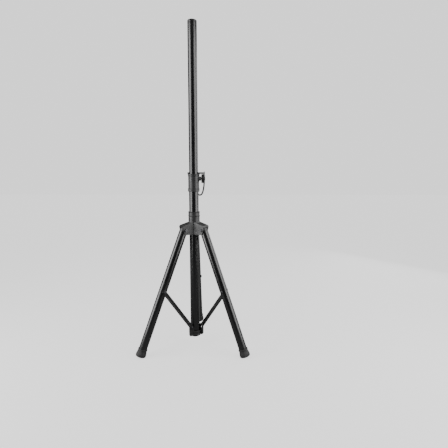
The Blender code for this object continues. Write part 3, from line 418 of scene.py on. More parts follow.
def along_path(name, points, radius, sides):
    """A round cord along points: each ring stands square to the path and is turned as little
    as can be from the one before, so the braid doesn't twist. U counts strands, V length."""
    points = np.asarray(points, float)
    tangents = np.gradient(points, axis=0)
    tangents /= np.linalg.norm(tangents, axis=1)[:, None]
    side = np.cross(tangents[0], (0.0, 1.0, 0.0) if abs(tangents[0][0]) > 0.9 else (1.0, 0.0, 0.0))
    turns = full_turn(sides)
    rings = []
    for point, tangent in zip(points, tangents):
        side = side - tangent * side.dot(tangent)
        side /= np.linalg.norm(side)
        other = np.cross(tangent, side)
        rings.append(point + radius * (np.cos(turns)[:, None] * side + np.sin(turns)[:, None] * other))
    mesh = face_out(skin(name, rings))
    lengths = np.concatenate([[0], np.cumsum(np.linalg.norm(np.diff(points, axis=0), axis=1))])
    loops = read(mesh.loops, "vertex_index", 1, int)
    around = np.append(np.tile(np.arange(sides) / sides, len(points)), [0, 0])[loops]
    down = np.append(np.repeat(lengths, sides), [0, lengths[-1]])[loops]
    starts = read(mesh.polygons, "loop_start", 1, int)
    face_of = np.repeat(np.arange(len(mesh.polygons)), np.diff(np.append(starts, len(loops))))
    high = np.zeros(len(mesh.polygons))
    np.maximum.at(high, face_of, around)
    around = np.where((high[face_of] > 0.75) & (around < 0.25), around + 1, around)
    uv = mesh.uv_layers.new(name="along")
    uv.data.foreach_set("uv", np.column_stack([around * 6, down / (2 * math.pi * radius) * 6]).ravel())
    return mesh


def smooth_path(route, steps, first, last):
    """Cubic curve through the route's points with steps to a span and given end slopes."""
    route = np.asarray(route, float)
    slopes = np.gradient(route, axis=0)
    slopes[0] = np.asarray(first) * np.linalg.norm(slopes[0])
    slopes[-1] = np.asarray(last) * np.linalg.norm(slopes[-1])
    t = np.linspace(0, 1, steps, endpoint=False)[:, None]
    spans = [(2 * t**3 - 3 * t**2 + 1) * a + (t**3 - 2 * t**2 + t) * u + (3 * t**2 - 2 * t**3) * b
             + (t**3 - t**2) * v
             for a, b, u, v in zip(route, route[1:], slopes, slopes[1:])]
    return np.vstack(spans + [route[-1:]])


lower_low, lower_high = corners_of("lanyard_ferrule_lower")
upper_low, upper_high = corners_of("lanyard_ferrule_upper")
LOWER_END, UPPER_END = (Vector(((low.x + high.x) / 2, (low.y + high.y) / 2, low.z - GAP))
                        for low, high in ((lower_low, lower_high), (upper_low, upper_high)))
BASE = AXIS + Vector((0, 0, collar_low.z))
hang = [(0.0118, 0.0247, -0.0005), (0.0143, 0.0241, -0.0088), (0.0195, 0.0233, -0.0140),
        (0.0257, 0.0226, -0.0138), (0.0310, 0.0220, -0.0087), (0.0348, 0.0216, 0.0008),
        (0.0374, 0.0215, 0.0130), (0.0392, 0.0215, 0.0270), (0.0401, 0.0215, 0.0410)]
cord_route = [LOWER_END, *(BASE + Vector(point) for point in hang), UPPER_END]
cord_line = smooth_path([tuple(p) for p in cord_route], 10, (0, 0, -1), (0, 0, 1))
cord_mesh = along_path("lanyard_cord", cord_line, CORD_R, 20)


def filleted(corners, steps=5):
    """An outline through (x, y, radius) corners, each rounded by an arc of its radius."""
    outline = []
    for i, (x, y, radius) in enumerate(corners):
        here = np.array((x, y))
        if radius <= 0:
            outline.append(here)
            continue
        back = np.array(corners[i - 1][:2]) - here
        on = np.array(corners[(i + 1) % len(corners)][:2]) - here
        back_length, on_length = np.linalg.norm(back), np.linalg.norm(on)
        back, on = back / back_length, on / on_length
        half = math.acos(float(np.clip(back @ on, -1, 1))) / 2
        if half > math.radians(89):
            outline.append(here)
            continue
        reach = min(radius / math.tan(half), 0.49 * back_length, 0.49 * on_length)
        bow = reach * math.tan(half)
        centre = here + (back + on) / np.linalg.norm(back + on) * bow / math.sin(half)
        first, last = here + back * reach - centre, here + on * reach - centre
        for k in range(steps + 1):
            point = first * (1 - k / steps) + last * k / steps
            outline.append(centre + point / np.linalg.norm(point) * bow)
    return np.array(outline)


def turned(name, corners, sides, place=Matrix.Identity(4), steps=5):
    """A turned piece: a closed outline of (radius, height, fillet) carried round Z."""
    outline = filleted(corners, steps)
    turns = full_turn(sides)
    rings = np.empty((len(outline), sides, 3))
    radius = np.maximum(outline[:, 0], 1e-6)
    rings[..., 0] = radius[:, None] * np.cos(turns)
    rings[..., 1] = radius[:, None] * np.sin(turns)
    rings[..., 2] = outline[:, 1][:, None]
    mesh = skin(name, rings, joined=True)
    mesh.transform(place)
    weld(mesh)
    return face_out(mesh)


def weld(mesh, distance=5e-6):
    """Merges points that lie together, such as the ring round an axis, and drops empty faces."""
    bm = bmesh.new()
    bm.from_mesh(mesh)
    bmesh.ops.remove_doubles(bm, verts=bm.verts, dist=distance)
    bmesh.ops.dissolve_degenerate(bm, edges=bm.edges, dist=1e-7)
    bmesh.ops.delete(bm, geom=[e for e in bm.edges if not e.link_faces], context="EDGES")
    bmesh.ops.delete(bm, geom=[v for v in bm.verts if not v.link_faces], context="VERTS")
    bm.to_mesh(mesh)
    bm.free()


def crimp(name, low_corner, high_corner, body, node):
    """Crimp sleeve with two pressed waists, turned round the cord."""
    centre = (low_corner + high_corner) / 2
    length = high_corner.z - low_corner.z
    r = FERRULE_R
    waist = r * 0.86
    profile = [(r, 0), (r, 0.22), (waist, 0.30), (waist, 0.36), (r, 0.44), (r, 0.56), (waist, 0.64),
               (waist, 0.70), (r, 0.78), (r, 1)]
    corners = [(0, 0, 0), *((x, share * length, 0.0004) for x, share in profile), (0, length, 0)]
    place = Matrix.Translation((centre.x, centre.y, low_corner.z))
    return settle(name, turned(name, corners, 32, place), ZINC, body, [node])


lower_sleeve = crimp("lanyard_sleeve_lower", lower_low, lower_high, "mast", "lanyard_ferrule_lower")
upper_sleeve = crimp("lanyard_sleeve_upper", upper_low, upper_high, "pin", "lanyard_ferrule_upper")
cord = settle("lanyard_cord", cord_mesh, BRAID, None, ["lanyard"])
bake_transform(cord)


SIDES = 96


def carve(mesh, tools, operation="DIFFERENCE"):
    """Cuts tools from a mesh, or joins them to it, one after another."""
    body = linked("work", mesh)
    helpers = []
    for tool in tools:
        helper = linked("tool", tool)
        helpers.append(helper)
        step = body.modifiers.new("step", "BOOLEAN")
        step.operation = operation
        step.solver = "MANIFOLD"
        step.object = helper
    return settled_mesh(body, helpers)


def moulding(mesh, voxel, rounds):
    """Softens a solid as a mould does: an even fine skin, then relaxed so edges turn round."""
    body = linked("work", mesh)
    even = body.modifiers.new("even", "REMESH")
    even.mode = "VOXEL"
    even.voxel_size = voxel
    relax = body.modifiers.new("relax", "SMOOTH")
    relax.factor = 0.5
    relax.iterations = rounds
    return settled_mesh(body, [])


def settled_mesh(body, helpers):
    """The mesh that an object's modifiers leave; the object and its helpers are removed."""
    bpy.context.view_layer.update()
    graph = bpy.context.evaluated_depsgraph_get()
    result = bpy.data.meshes.new_from_object(body.evaluated_get(graph), depsgraph=graph)
    for obj in [body] + helpers:
        bpy.data.objects.remove(obj, do_unlink=True)
    return result


def toward(azimuth, z=0.0):
    """Turns +Z to point level along the azimuth from the mast's axis at height z, +X to point down."""
    return (Matrix.Translation(AXIS + Vector((0, 0, z))) @ Matrix.Rotation(math.radians(azimuth), 4, "Z")
            @ Matrix.Rotation(math.radians(90), 4, "Y"))


def rod(radius, low, high, place, sides=32):
    """A plain closed cylinder, used as a cutter or a boss."""
    return turned("rod", [(0, low, 0), (radius, low, 0), (radius, high, 0), (0, high, 0)], sides, place)


# ---- pole ----
# The upper tube, 35 mm across, powder coated. Holes for the pin run through it
# from side to side every 80 mm, and a plug with a flange closes each end.
POLE_R = 0.0175
POLE_BORE = 0.0160
PIN_PITCH = 0.080
PIN_Z = (pin_low.z + pin_high.z) / 2
pole_low, pole_high = corners_of("pole_tube")
upright = Matrix.Translation(AXIS)
pole_mesh = turned("pole", [(POLE_BORE, pole_low.z, 0.0003), (POLE_R, pole_low.z, 0.0005),
                            (POLE_R, pole_high.z, 0.0005), (POLE_BORE, pole_high.z, 0.0003)],
                   SIDES, upright)
pin_holes = [rod(0.0037, -0.023, 0.023, toward(0, PIN_Z + k * PIN_PITCH), 40) for k in range(-2, 5)]
settle("pole", carve(pole_mesh, pin_holes), POWDER, "pole", ["pole_tube"])


def pole_plug(name, face, up):
    """Push-in plug: a crowned flange with a shallow dish, and a hollow spigot."""
    fit = POLE_BORE - 0.0003
    outline = [(0, 0.0005, 0), (0.0105, 0.0005, 0.0006), (0.0118, -0.0003, 0.0008), (0.0165, -0.0003, 0.001),
               (POLE_R, -0.0016, 0.0012), (POLE_R, -0.0027, 0.0002), (fit, -0.0027, 0.0002),
               (fit, -0.0190, 0.0008), (0.0125, -0.0200, 0.0004), (0.0120, -0.0050, 0.0006), (0, -0.0050, 0)]
    if up < 0:
        outline = [(r, -z, bend) for r, z, bend in outline[::-1]]
    centre = Matrix.Translation(AXIS + Vector((0, 0, face - up * 0.0005)))
    settle(name, turned(name, outline, SIDES, centre), PLASTIC, "pole", [name])


pole_plug("pole_top_cap", Vector(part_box("pole_top_cap")[1]).z, 1)
pole_plug("pole_bottom_plug", Vector(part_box("pole_bottom_plug")[0]).z, -1)


# ---- safety pin ----
# A steel rod through the pole just above the collar. Its head bends back level and
# carries a welded ring for the lanyard.
def ring_of_wire(name, centre, turn, ring_r, wire_r, around=72, across=24):
    """A torus: a circle of wire_r carried round a circle of ring_r about the turned Z axis."""
    a, b = np.meshgrid(full_turn(around),
                       full_turn(across), indexing="ij")
    out = ring_r + wire_r * np.cos(b)
    rings = np.stack([out * np.cos(a), out * np.sin(a), wire_r * np.sin(b)], axis=-1)
    return closed_skin(name, rings, Matrix.Translation(centre) @ turn, joined=True)


PIN_R = 0.00325
PIN_BEND_X = 0.0405
PIN_BEND_R = 0.0065
PIN_TIP_X = -0.0246
pin_line = [(PIN_TIP_X, 0.0)] + [(PIN_TIP_X + share * (PIN_BEND_X - PIN_BEND_R - PIN_TIP_X), 0.0)
                                 for share in np.linspace(0.03, 1, 24)]
pin_line += [(PIN_BEND_X - PIN_BEND_R + PIN_BEND_R * math.sin(a), PIN_BEND_R - PIN_BEND_R * math.cos(a))
             for a in arc(6, 90, 15)]
pin_line += [(PIN_BEND_X, y) for y in np.linspace(0.0085, 0.0165, 5)]
pin_points = np.array([(AXIS.x + x, AXIS.y + y, PIN_Z) for x, y in pin_line])
pin_mesh = along_path("pin", pin_points, PIN_R, 40)
pin_places = read(pin_mesh.vertices, "co", 3)
toward_tip = np.clip((AXIS.x + PIN_TIP_X + 0.0018 - pin_places[:, 0]) / 0.0018, 0, 1)
narrow = 1 - 0.42 * toward_tip**2
pin_places[:, 1] = AXIS.y + (pin_places[:, 1] - AXIS.y) * np.where(toward_tip > 0, narrow, 1)
pin_places[:, 2] = PIN_Z + (pin_places[:, 2] - PIN_Z) * np.where(toward_tip > 0, narrow, 1)
pin_mesh.vertices.foreach_set("co", pin_places.ravel())
pin_ring = ring_of_wire("pin_ring", AXIS + Vector((PIN_BEND_X, 0.0215, PIN_Z)),
                        Matrix.Rotation(math.radians(90), 4, "Y"), 0.0050, 0.0018)
settle("safety_pin", carve(pin_mesh, [pin_ring], "UNION"), OXIDE, "pin", ["safety_pin"])


# ---- mast ----
# The lower tube, 38 mm across, runs from the ground ring up through the hub and
# into the collar. A domed plug closes its lower end.
MAST_R = 0.0190
MAST_BORE = 0.0178
mast_mesh = turned("mast", [(MAST_BORE, mast_low.z, 0.0003), (MAST_R, mast_low.z, 0.0005),
                            (MAST_R, mast_high.z, 0.0005), (MAST_BORE, mast_high.z, 0.0003)],
                   SIDES, upright)
UPPER_KNOB_Z = 0.682938
LOWER_KNOB_Z = 0.544589
pad_hole = rod(0.0048, 0.010, 0.023, toward(0, UPPER_KNOB_Z), 40)
settle("mast", carve(mast_mesh, [pad_hole]), POWDER, "mast", ["mast_tube"])

plug_low, plug_high = corners_of("mast_bottom_plug")
face = mast_low.z - 0.0003
plug_fit = MAST_BORE - 0.0003
settle("mast_bottom_plug",
       turned("mast_bottom_plug",
              [(0, plug_low.z, 0), (0.0085, plug_low.z + 0.0001, 0.002), (0.0150, plug_low.z + 0.0010, 0.004),
               (MAST_R - 0.0003, face - 0.0016, 0.0016), (MAST_R, face, 0.0002), (plug_fit, face, 0.0002),
               (plug_fit, plug_high.z, 0.0012), (0.0130, plug_high.z, 0.0004), (0.0130, face + 0.002, 0.0006),
               (0, face + 0.002, 0)], SIDES, upright),
       PLASTIC, "mast", ["mast_bottom_plug"])


# ---- upper collar ----
# A moulded sleeve on the mast's upper end, with a flared rim, a band at its foot
# and a round boss for the clamp screw.
def boss(reach, place):
    """A round boss that swells where it meets the sleeve: radius = 8.5 mm plus a 3 mm root fillet."""
    root = [(0, 0.0195, 0), (0.0118, 0.0195, 0), (0.0118, 0.0205, 0.0004), (0.0085, 0.0222, 0.0028),
            (0.0085, reach, 0.0013), (0, reach, 0)]
    return turned("boss", root, 64, place)


def hexagonal(flats, low, high, place, bore=0.0, chamfer=0.0006, sides=72):
    """A nut: radius = the least of the hexagon's flat and the chamfer cone; bore 0 makes a plug."""
    turns = full_turn(sides)
    fold = np.mod(turns + np.pi / 6, np.pi / 3) - np.pi / 6
    flat = flats / 2 / np.cos(np.pi / 6 - np.abs(fold))
    corner = flats / math.sqrt(3)
    levels = [(low, corner - 2.2 * chamfer), (low + 0.3 * chamfer, corner - 1.1 * chamfer),
              (low + chamfer, corner + 1e-4), (high - chamfer, corner + 1e-4),
              (high - 0.3 * chamfer, corner - 1.1 * chamfer), (high, corner - 2.2 * chamfer)]
    levels = levels if chamfer else [(low, 1.0), (high, 1.0)]
    rings = [np.column_stack([np.minimum(flat, limit) * np.cos(turns),
                              np.minimum(flat, limit) * np.sin(turns), np.full(sides, z)])
             for z, limit in levels]
    if bore:
        rings += [np.column_stack([bore * np.cos(turns), bore * np.sin(turns), np.full(sides, z)])
                  for z in (high, low)]
    return closed_skin("hexagon", rings, place, joined=bool(bore))


def pockets(contact_r, place):
    """Cutters for the brake pad, the screw and the nut that a boss holds."""
    inner = contact_r + 0.0003
    stepped = [(0, inner / 2, 0), (0.0048, inner / 2, 0), (0.0048, inner + 0.0025, 0),
               (HOLE_R, inner + 0.0025, 0), (HOLE_R, 0.031, 0), (0, 0.031, 0)]
    return [turned("pad_room", stepped, 40, place), hexagonal(0.0106, 0.0240, 0.032, place, chamfer=0.0)]


SLEEVE_R = 0.0193
BOSS_REACH = 0.0290
HOLE_R = 0.0033
R = 0.0215
z0, z1 = collar_low.z, collar_high.z
collar_mesh = turned("collar", [
    (SLEEVE_R, z0, 0.0003), (R + 0.0011, z0, 0.0008), (R + 0.0012, z0 + 0.0100, 0.0003),
    (R + 0.0018, z0 + 0.0106, 0.0004), (R + 0.0018, z0 + 0.0121, 0.0006), (R + 0.0003, z0 + 0.0130, 0.0008),
    (R, z0 + 0.0150, 0.002), (R, z0 + 0.0345, 0.0004), (R - 0.0003, z0 + 0.0350, 0.0003),
    (R, z0 + 0.0355, 0.0004), (R, z1 - 0.0105, 0.0018), (R + 0.0006, z1 - 0.0085, 0.0010),
    (R + 0.0006, z1 - 0.0048, 0.0004), (R + 0.0021, z1 - 0.0036, 0.0005), (R + 0.0021, z1, 0.0010),
    (0.0178, z1, 0.0004), (0.0178, z1 - 0.0030, 0), (SLEEVE_R, z1 - 0.0030, 0)], SIDES, upright)
collar_boss = boss(BOSS_REACH, toward(0, UPPER_KNOB_Z))
collar_bore = rod(SLEEVE_R, z0 - 0.01, z1 - 0.0030, upright, SIDES)
EYE_PLACE = toward(65.0, z0 + 0.0200)
eye_hole = rod(0.0014, 0.0197, 0.030, EYE_PLACE, 24)
collar_solid = carve(carve(collar_mesh, [collar_boss], "UNION"),
                     [collar_bore] + pockets(POLE_R, toward(0, UPPER_KNOB_Z)) + [eye_hole])
settle("upper_collar", collar_solid, PLASTIC, "mast", ["upper_collar"], smooth_angle=34.0)

eye_ring = ring_of_wire("lanyard_eye", AXIS + Vector((0.0275 * math.cos(math.radians(65)),
                                                      0.0275 * math.sin(math.radians(65)), z0 + 0.0200)),
                        Matrix.Rotation(math.radians(65), 4, "Z") @ Matrix.Rotation(math.radians(90), 4, "X"),
                        0.0035, 0.0011)
eye_stem = rod(0.0011, 0.0200, 0.0242, EYE_PLACE, 24)
settle("lanyard_eye", carve(eye_ring, [eye_stem], "UNION"), ZINC, "mast", ["lanyard_eye"])


# ---- clamp screws ----
# Each boss holds a captive nut. A screw runs through it to a nylon pad on the tube,
# and a T-shaped knob is moulded on the screw's outer end.
SCREW_PITCH = 0.0010


def threaded(name, low, plain, high, place, body, node):
    """A screw: radius = 3 mm less a V groove that climbs one pitch a turn, plain near its head."""
    around, step = 48, SCREW_PITCH / 8
    heights = np.arange(low, high, step)
    turns = full_turn(around)
    h, a = np.meshgrid(heights, turns, indexing="ij")
    phase = np.mod(h / SCREW_PITCH - a / (2 * np.pi), 1.0)
    fade = np.clip((plain - h) / 0.001, 0, 1) * np.clip((h - low) / 0.0008, 0, 1)
    radius = 0.0030 - 0.0006 * (1 - np.abs(2 * phase - 1)) * fade
    radius -= 0.0006 * np.clip(1 - (h - low) / 0.0006, 0, 1)
    rings = np.stack([radius * np.cos(a), radius * np.sin(a), h], axis=-1)
    settle(name, closed_skin(name, rings, place), ZINC, body, [node], smooth_angle=50.0)


def t_outline(grow, steps=16):
    """A knob seen end on: a round barrel with a tapering wing up and one down."""
    points = []
    for side in (1, -1):
        for a in arc(12, 168, steps):
            points.append((side * (0.01175 + (0.0055 + grow) * math.sin(a)),
                           side * (0.0055 + grow) * math.cos(a)))
        for a in arc(140, 220, steps):
            points.append((side * (0.0080 + grow) * math.sin(a), side * (0.0080 + grow) * math.cos(a)))
    return points


def knob(name, place, body, node):
    """T-knob: its outline swells from a rounded inner edge and closes over a crowned face."""
    inner = 0.0303
    steps = [(-0.0014, 0.0), (-0.0008, 0.0002), (-0.0003, 0.0006), (0.0, 0.0014), (0.0, 0.0050),
             (0.0, 0.0095), (-0.0003, 0.0109), (-0.0008, 0.0119), (-0.0015, 0.0128), (-0.0024, 0.0135),
             (-0.0033, 0.0139), (-0.0044, 0.0142)]
    rings = [[(x, y, inner + z) for x, y in t_outline(grow)] for grow, z in steps]
    mesh = face_out(skin(name, rings))
    crown = turned("crown", [(0, inner + 0.006, 0), (0.0068, inner + 0.006, 0),
                             (0.0068, inner + 0.0150, 0.0010), (0.0048, inner + 0.0150, 0.0004),
                             (0.0046, inner + 0.0146, 0.0003), (0, inner + 0.0146, 0)], 56)
    screw_room = rod(HOLE_R, inner - 0.002, inner + 0.0103, Matrix.Identity(4), 40)
    solid = carve(carve(mesh, [crown], "UNION"), [screw_room])
    solid.transform(place)
    settle(name, solid, HANDLE, body, [node], smooth_angle=36.0)


def clamp_set(prefix, azimuth, z, tube_r, nut_body):
    """A clamp's pad, nut, screw and knob, in a boss that points along the azimuth."""
    place = toward(azimuth, z)
    pad = turned("pad", [(0, tube_r + 0.0003, 0), (0.0045, tube_r + 0.0003, 0.0002),
                         (0.0045, tube_r + 0.0025, 0.0005), (0, tube_r + 0.0025, 0)], 40, place)
    settle(f"{prefix}_brake_pad", pad, PLASTIC, nut_body, [f"{prefix}_brake_pad"])
    nut = hexagonal(0.0100, 0.0243, BOSS_REACH, place, bore=HOLE_R, chamfer=0.0005)
    settle(f"{prefix}_clamp_nut", nut, ZINC, nut_body, [f"{prefix}_clamp_nut"], smooth_angle=25.0)
    threaded(f"{prefix}_clamp_screw", tube_r + 0.0028, 0.0300, 0.0403, place, f"{prefix}_screw",
             f"{prefix}_clamp_screw")
    knob(f"{prefix}_knob", place, f"{prefix}_knob", f"{prefix}_knob")


clamp_set("upper", 0, UPPER_KNOB_Z, POLE_R, "mast")
clamp_set("lower", 90, LOWER_KNOB_Z, MAST_R, "hub")


# ---- hub ----
# One moulding slides on the mast: a ridged neck, and three wings that each hold a
# leg between two plates under an arched roof. The neck carries the lower clamp.
PIVOT_Z = 0.482589
LEG_PIVOT_R = 0.0450
HUB_REACH = 0.0590
HUB_DROP = 0.0190
HUB_HALF = 0.0190
ROOF_SLOPE = math.tan(math.radians(16))
END_LEAN = math.tan(math.radians(15))
AZIMUTHS = (210.0, 330.0, 90.0)
CHANNEL_R = 0.0164
ACROSS = Matrix.Rotation(math.radians(-90), 4, "X")


def plane_of(azimuth, radius=0.0, z=PIVOT_Z):
    """A leg's own frame: +X outward in the leg's plane, +Z up, from radius and height z."""
    return (Matrix.Translation(AXIS + Vector((0, 0, z))) @ Matrix.Rotation(math.radians(azimuth), 4, "Z")
            @ Matrix.Translation((radius, 0, 0)))


def slab(outline, y0, y1, place, soft=0.0):
    """A plate in a leg's plane between y0 and y1; soft draws its two faces in by a quarter round."""
    outline = np.asarray(outline, float)
    middle = outline.mean(axis=0)
    span = np.abs(outline - middle).max(axis=0)
    levels = [(y0, soft), (y1, soft)]
    if soft:
        turns = arc(0, 90, 5)
        draws = [(soft * (1 - math.sin(a)), soft * (1 - math.cos(math.pi / 2 - a))) for a in turns]
        levels = ([(y0 + back, inset) for back, inset in draws]
                  + [(y1 - back, inset) for back, inset in draws[::-1]])
    rings = []
    for y, inset in levels:
        scale = 1 - inset / span
        flat = middle + (outline - middle) * scale
        rings.append([(x, y, z) for x, z in flat])
    return closed_skin("slab", rings, place)


def wing(azimuth):
    """A wing in the leg's plane: flat floor, leaning end with round corners, sloping roof."""
    shoulder, root, start = 0.0275, 0.0225, 0.0090
    corner_z = shoulder - (HUB_REACH - root) * ROOF_SLOPE
    low_r = HUB_REACH - (corner_z + HUB_DROP) * END_LEAN
    outline = filleted([(start, -HUB_DROP, 0), (low_r, -HUB_DROP, 0.005), (HUB_REACH, corner_z, 0.008),
                        (start, shoulder + (root - start) * ROOF_SLOPE, 0)], 8)
    return slab(outline, -HUB_HALF, HUB_HALF, plane_of(azimuth))


def channel(azimuth):
    """Room for the leg: an upright trough whose ceiling is a half round that slopes with the roof."""
    lift = math.sqrt(1 + ROOF_SLOPE**2)
    stations = [(-CHANNEL_R * math.cos(a), CHANNEL_R * math.sin(a))
                for a in arc(8, 90, 12)]
    stations.append((HUB_REACH, CHANNEL_R))
    rings = []
    for d, half in stations:
        top = -max(d, 0) * ROOF_SLOPE
        arch = [(d + LEG_PIVOT_R, half * math.cos(a), top + half * lift * math.sin(a))
                for a in arc(0, 180, 33)]
        rings.append([(d + LEG_PIVOT_R, half, -0.09)] + arch + [(d + LEG_PIVOT_R, -half, -0.09)])
    return closed_skin("channel", rings, plane_of(azimuth))


neck_top = 0.553089 - PIVOT_Z
ridge = neck_top - 0.0155
N = 0.0225
neck = turned("neck", [
    (0, -HUB_DROP + 0.0015, 0), (N, -HUB_DROP + 0.0015, 0.0008), (N, ridge - 0.0016, 0.0012),
    (N + 0.0015, ridge - 0.0011, 0.0004), (N + 0.0015, ridge, 0.0004), (N, ridge + 0.0003, 0.0008),
    (N, neck_top - 0.0020, 0.0010), (N + 0.0015, neck_top - 0.0015, 0.0004), (N + 0.0015, neck_top, 0.0008),
    (0, neck_top, 0)], SIDES, plane_of(0))
outer = carve(neck, [wing(a) for a in AZIMUTHS] + [boss(BOSS_REACH, toward(90, LOWER_KNOB_Z))], "UNION")
outer = moulding(outer, 0.0006, 6)
hub_bore = rod(SLEEVE_R, -0.04, neck_top + 0.02, plane_of(0), SIDES)
pivot_holes = [rod(HOLE_R, -0.04, 0.04, plane_of(a, LEG_PIVOT_R) @ ACROSS, 40) for a in AZIMUTHS]
hub_solid = carve(outer, [channel(a) for a in AZIMUTHS] + [hub_bore]
                  + pockets(MAST_R, toward(90, LOWER_KNOB_Z)) + pivot_holes)
settle("hub", hub_solid, PLASTIC, "hub", ["hub_shell"], smooth_angle=32.0)


# ---- bolts ----
# Pan-headed bolts with a cross recess go through the hub's plates and through the
# legs; a hexagon nut closes each on the struts' side.
def bolt_and_nut(prefix, place, head_face, end, nut_face, body):
    """A bolt along the place's Z, its head below -head_face, and a nut above nut_face."""
    low = -head_face - GAP
    head = turned("bolt", [(0, low - 0.0030, 0), (0.0038, low - 0.0030, 0.0012),
                           (0.0055, low - 0.0014, 0.0010), (0.0055, low, 0.0002), (0.0030, low, 0.0002),
                           (0.0030, end, 0.0006), (0, end, 0)], 48, place)
    arms = []
    for turn in (0, 90):
        arm = [(-0.0021, -0.00055), (0.0021, -0.00055), (0.0021, 0.00055), (-0.0021, 0.00055)]
        rings = [[(x * s, y * s, z) for x, y in arm] for z, s in ((low - 0.0040, 1.15), (low - 0.0016, 0.75))]
        arms.append(closed_skin("arm", rings, place @ Matrix.Rotation(math.radians(turn + 20), 4, "Z")))
    settle(f"{prefix}_bolt", carve(head, arms), ZINC, body, [f"{prefix}_bolt"], smooth_angle=30.0)
    nut = hexagonal(0.0100, nut_face + GAP, nut_face + 0.0045, place, bore=HOLE_R, chamfer=0.0005)
    settle(f"{prefix}_nut", nut, ZINC, body, [f"{prefix}_nut"], smooth_angle=25.0)


for i, azimuth in enumerate(AZIMUTHS, 1):
    bolt_and_nut(f"leg_{i}_pivot", plane_of(azimuth, LEG_PIVOT_R) @ ACROSS, HUB_HALF, 0.0245, HUB_HALF, "hub")


# ---- legs ----
# Each leg is a powder-coated tube with a round-headed plug at the hub and a ribbed
# rubber foot, which stands on a small worn flat.
OPEN = math.radians(21.5)
LEG_LENGTH = 0.514
LEG_R = 0.0159
LEG_BORE = 0.0147
STRUT_ON_LEG = 0.252


def leg_frame(azimuth):
    """A leg's own frame as it stands open: origin at its hub bolt, -Z down the tube."""
    return plane_of(azimuth, LEG_PIVOT_R) @ Matrix.Rotation(-OPEN, 4, "Y")


def foot_mesh(place):
    """Foot: a turned cup with a raised rim; its side carries 36 shallow grooves.

    Groove depth = 0.45 mm * (1 - cos)^2 / 4 round the foot, faded out at the rim and the sole."""
    top, end = -LEG_LENGTH + 0.031, -LEG_LENGTH
    outline = [(0.0162, top, 0.0006), (0.01825, top, 0.0008), (0.01825, top - 0.0044, 0.0006),
               (0.0172, top - 0.0056, 0.0006), (0.0174, top - 0.0080, 0.0010), (0.0200, end + 0.0100, 0.004),
               (0.0200, end, 0.0080), (0, end, 0), (0, end + 0.0057, 0), (0.0162, end + 0.0057, 0.0003)]
    base = filleted(outline, 10)
    dense = []
    for a, b in zip(base, np.roll(base, -1, axis=0)):
        pieces = max(1, int(np.linalg.norm(b - a) / 0.0008)) if a[0] > 0.0165 and b[0] > 0.0165 else 1
        dense += [a + (b - a) * k / pieces for k in range(pieces)]
    mesh = turned("foot", [(r, z, 0) for r, z in dense], 288)
    places = read(mesh.vertices, "co", 3)
    radius = np.hypot(places[:, 0], places[:, 1])
    height = places[:, 2]
    fade = np.clip((top - 0.0075 - height) / 0.0015, 0, 1) * np.clip((height - end - 0.0045) / 0.0025, 0, 1)
    groove = ((1 - np.cos(np.arctan2(places[:, 1], places[:, 0]) * 36)) / 2) ** 2
    shrink = np.where(radius > 0.0168, 1 - 0.00045 * groove * fade / np.maximum(radius, 1e-3), 1)
    places[:, :2] *= shrink[:, None]
    mesh.vertices.foreach_set("co", places.ravel())
    mesh.transform(place)
    places = read(mesh.vertices, "co", 3)
    places[:, 2] = np.maximum(places[:, 2], 0.0)
    mesh.vertices.foreach_set("co", places.ravel())
    return mesh


for i, azimuth in enumerate(AZIMUTHS, 1):
    leg, place = f"leg_{i}", leg_frame(azimuth)
    across_leg = place @ Matrix.Translation((0, 0, -STRUT_ON_LEG)) @ ACROSS
    tube = turned("leg", [(LEG_BORE, -LEG_LENGTH + 0.006, 0.0003), (LEG_R, -LEG_LENGTH + 0.006, 0.0004),
                          (LEG_R, -0.0075, 0.0005), (LEG_BORE, -0.0075, 0.0003)], 88, place)
    settle(f"{leg}_tube", carve(tube, [rod(HOLE_R, -0.022, 0.022, across_leg, 40)]), POWDER, leg,
           [f"{leg}_tube"])
    dome = [(0.0156 * math.cos(a), 0.0156 * math.sin(a), 0) for a in arc(0, 90, 24)]
    plug = turned("plug", [(0, -0.034, 0), (0.0144, -0.034, 0.0015), (0.0144, -0.0072, 0),
                           (0.0156, -0.0072, 0.0004)] + dome, 88, place)
    settle(f"{leg}_top_plug", carve(plug, [rod(HOLE_R, -0.022, 0.022, place @ ACROSS, 40)]), PLASTIC, leg,
           [f"{leg}_top_plug"])
    settle(f"{leg}_foot", foot_mesh(place), RUBBER, leg, [f"{leg}_foot"], smooth_angle=50.0)
    bolt_and_nut(f"{leg}_strut", across_leg, LEG_R, 0.0250, 0.0194, leg)


# ---- struts ----
# A pressed steel bar beside each leg, with a shallow channel along its outer face.
# Its lower eye is riveted to the ring at the mast's end.
STRUT_LENGTH = 0.202770
STRUT_IN, STRUT_OUT = 0.0162, 0.0194
STRUT_FOOT = (0.0240, 0.080 - PIVOT_Z)


def stadium(half, low, high, y, steps=20):
    """A long round-ended outline at y, its end arcs centred on low and high."""
    top = [(half * math.cos(a), y, high + half * math.sin(a)) for a in arc(0, 180, steps)]
    return top + [(half * math.cos(a), y, low + half * math.sin(a))
                  for a in arc(180, 360, steps)]


def strut_mesh():
    """Half width falls by the edge rounding; the channel is 0.7 mm deep with sloping walls."""
    half, length = 0.0080, STRUT_LENGTH
    rings = []
    bends = [(0.0008 * (1 - math.sin(a)), 0.0008 * (1 - math.cos(a)))
             for a in arc(0, 90, 5)]
    for less, rise in bends:
        rings.append(stadium(half - less, -length, 0, STRUT_IN + rise))
    for rise, less in bends:
        rings.append(stadium(half - less, -length, 0, STRUT_OUT - rise))
    for narrow, depth in ((0.0046, 0.0), (0.0042, 0.00008), (0.0038, 0.00035), (0.0034, 0.00062),
                          (0.0030, 0.0007)):
        rings.append(stadium(narrow, -length + 0.018, -0.018, STRUT_OUT - depth))
    return face_out(skin("strut", rings))


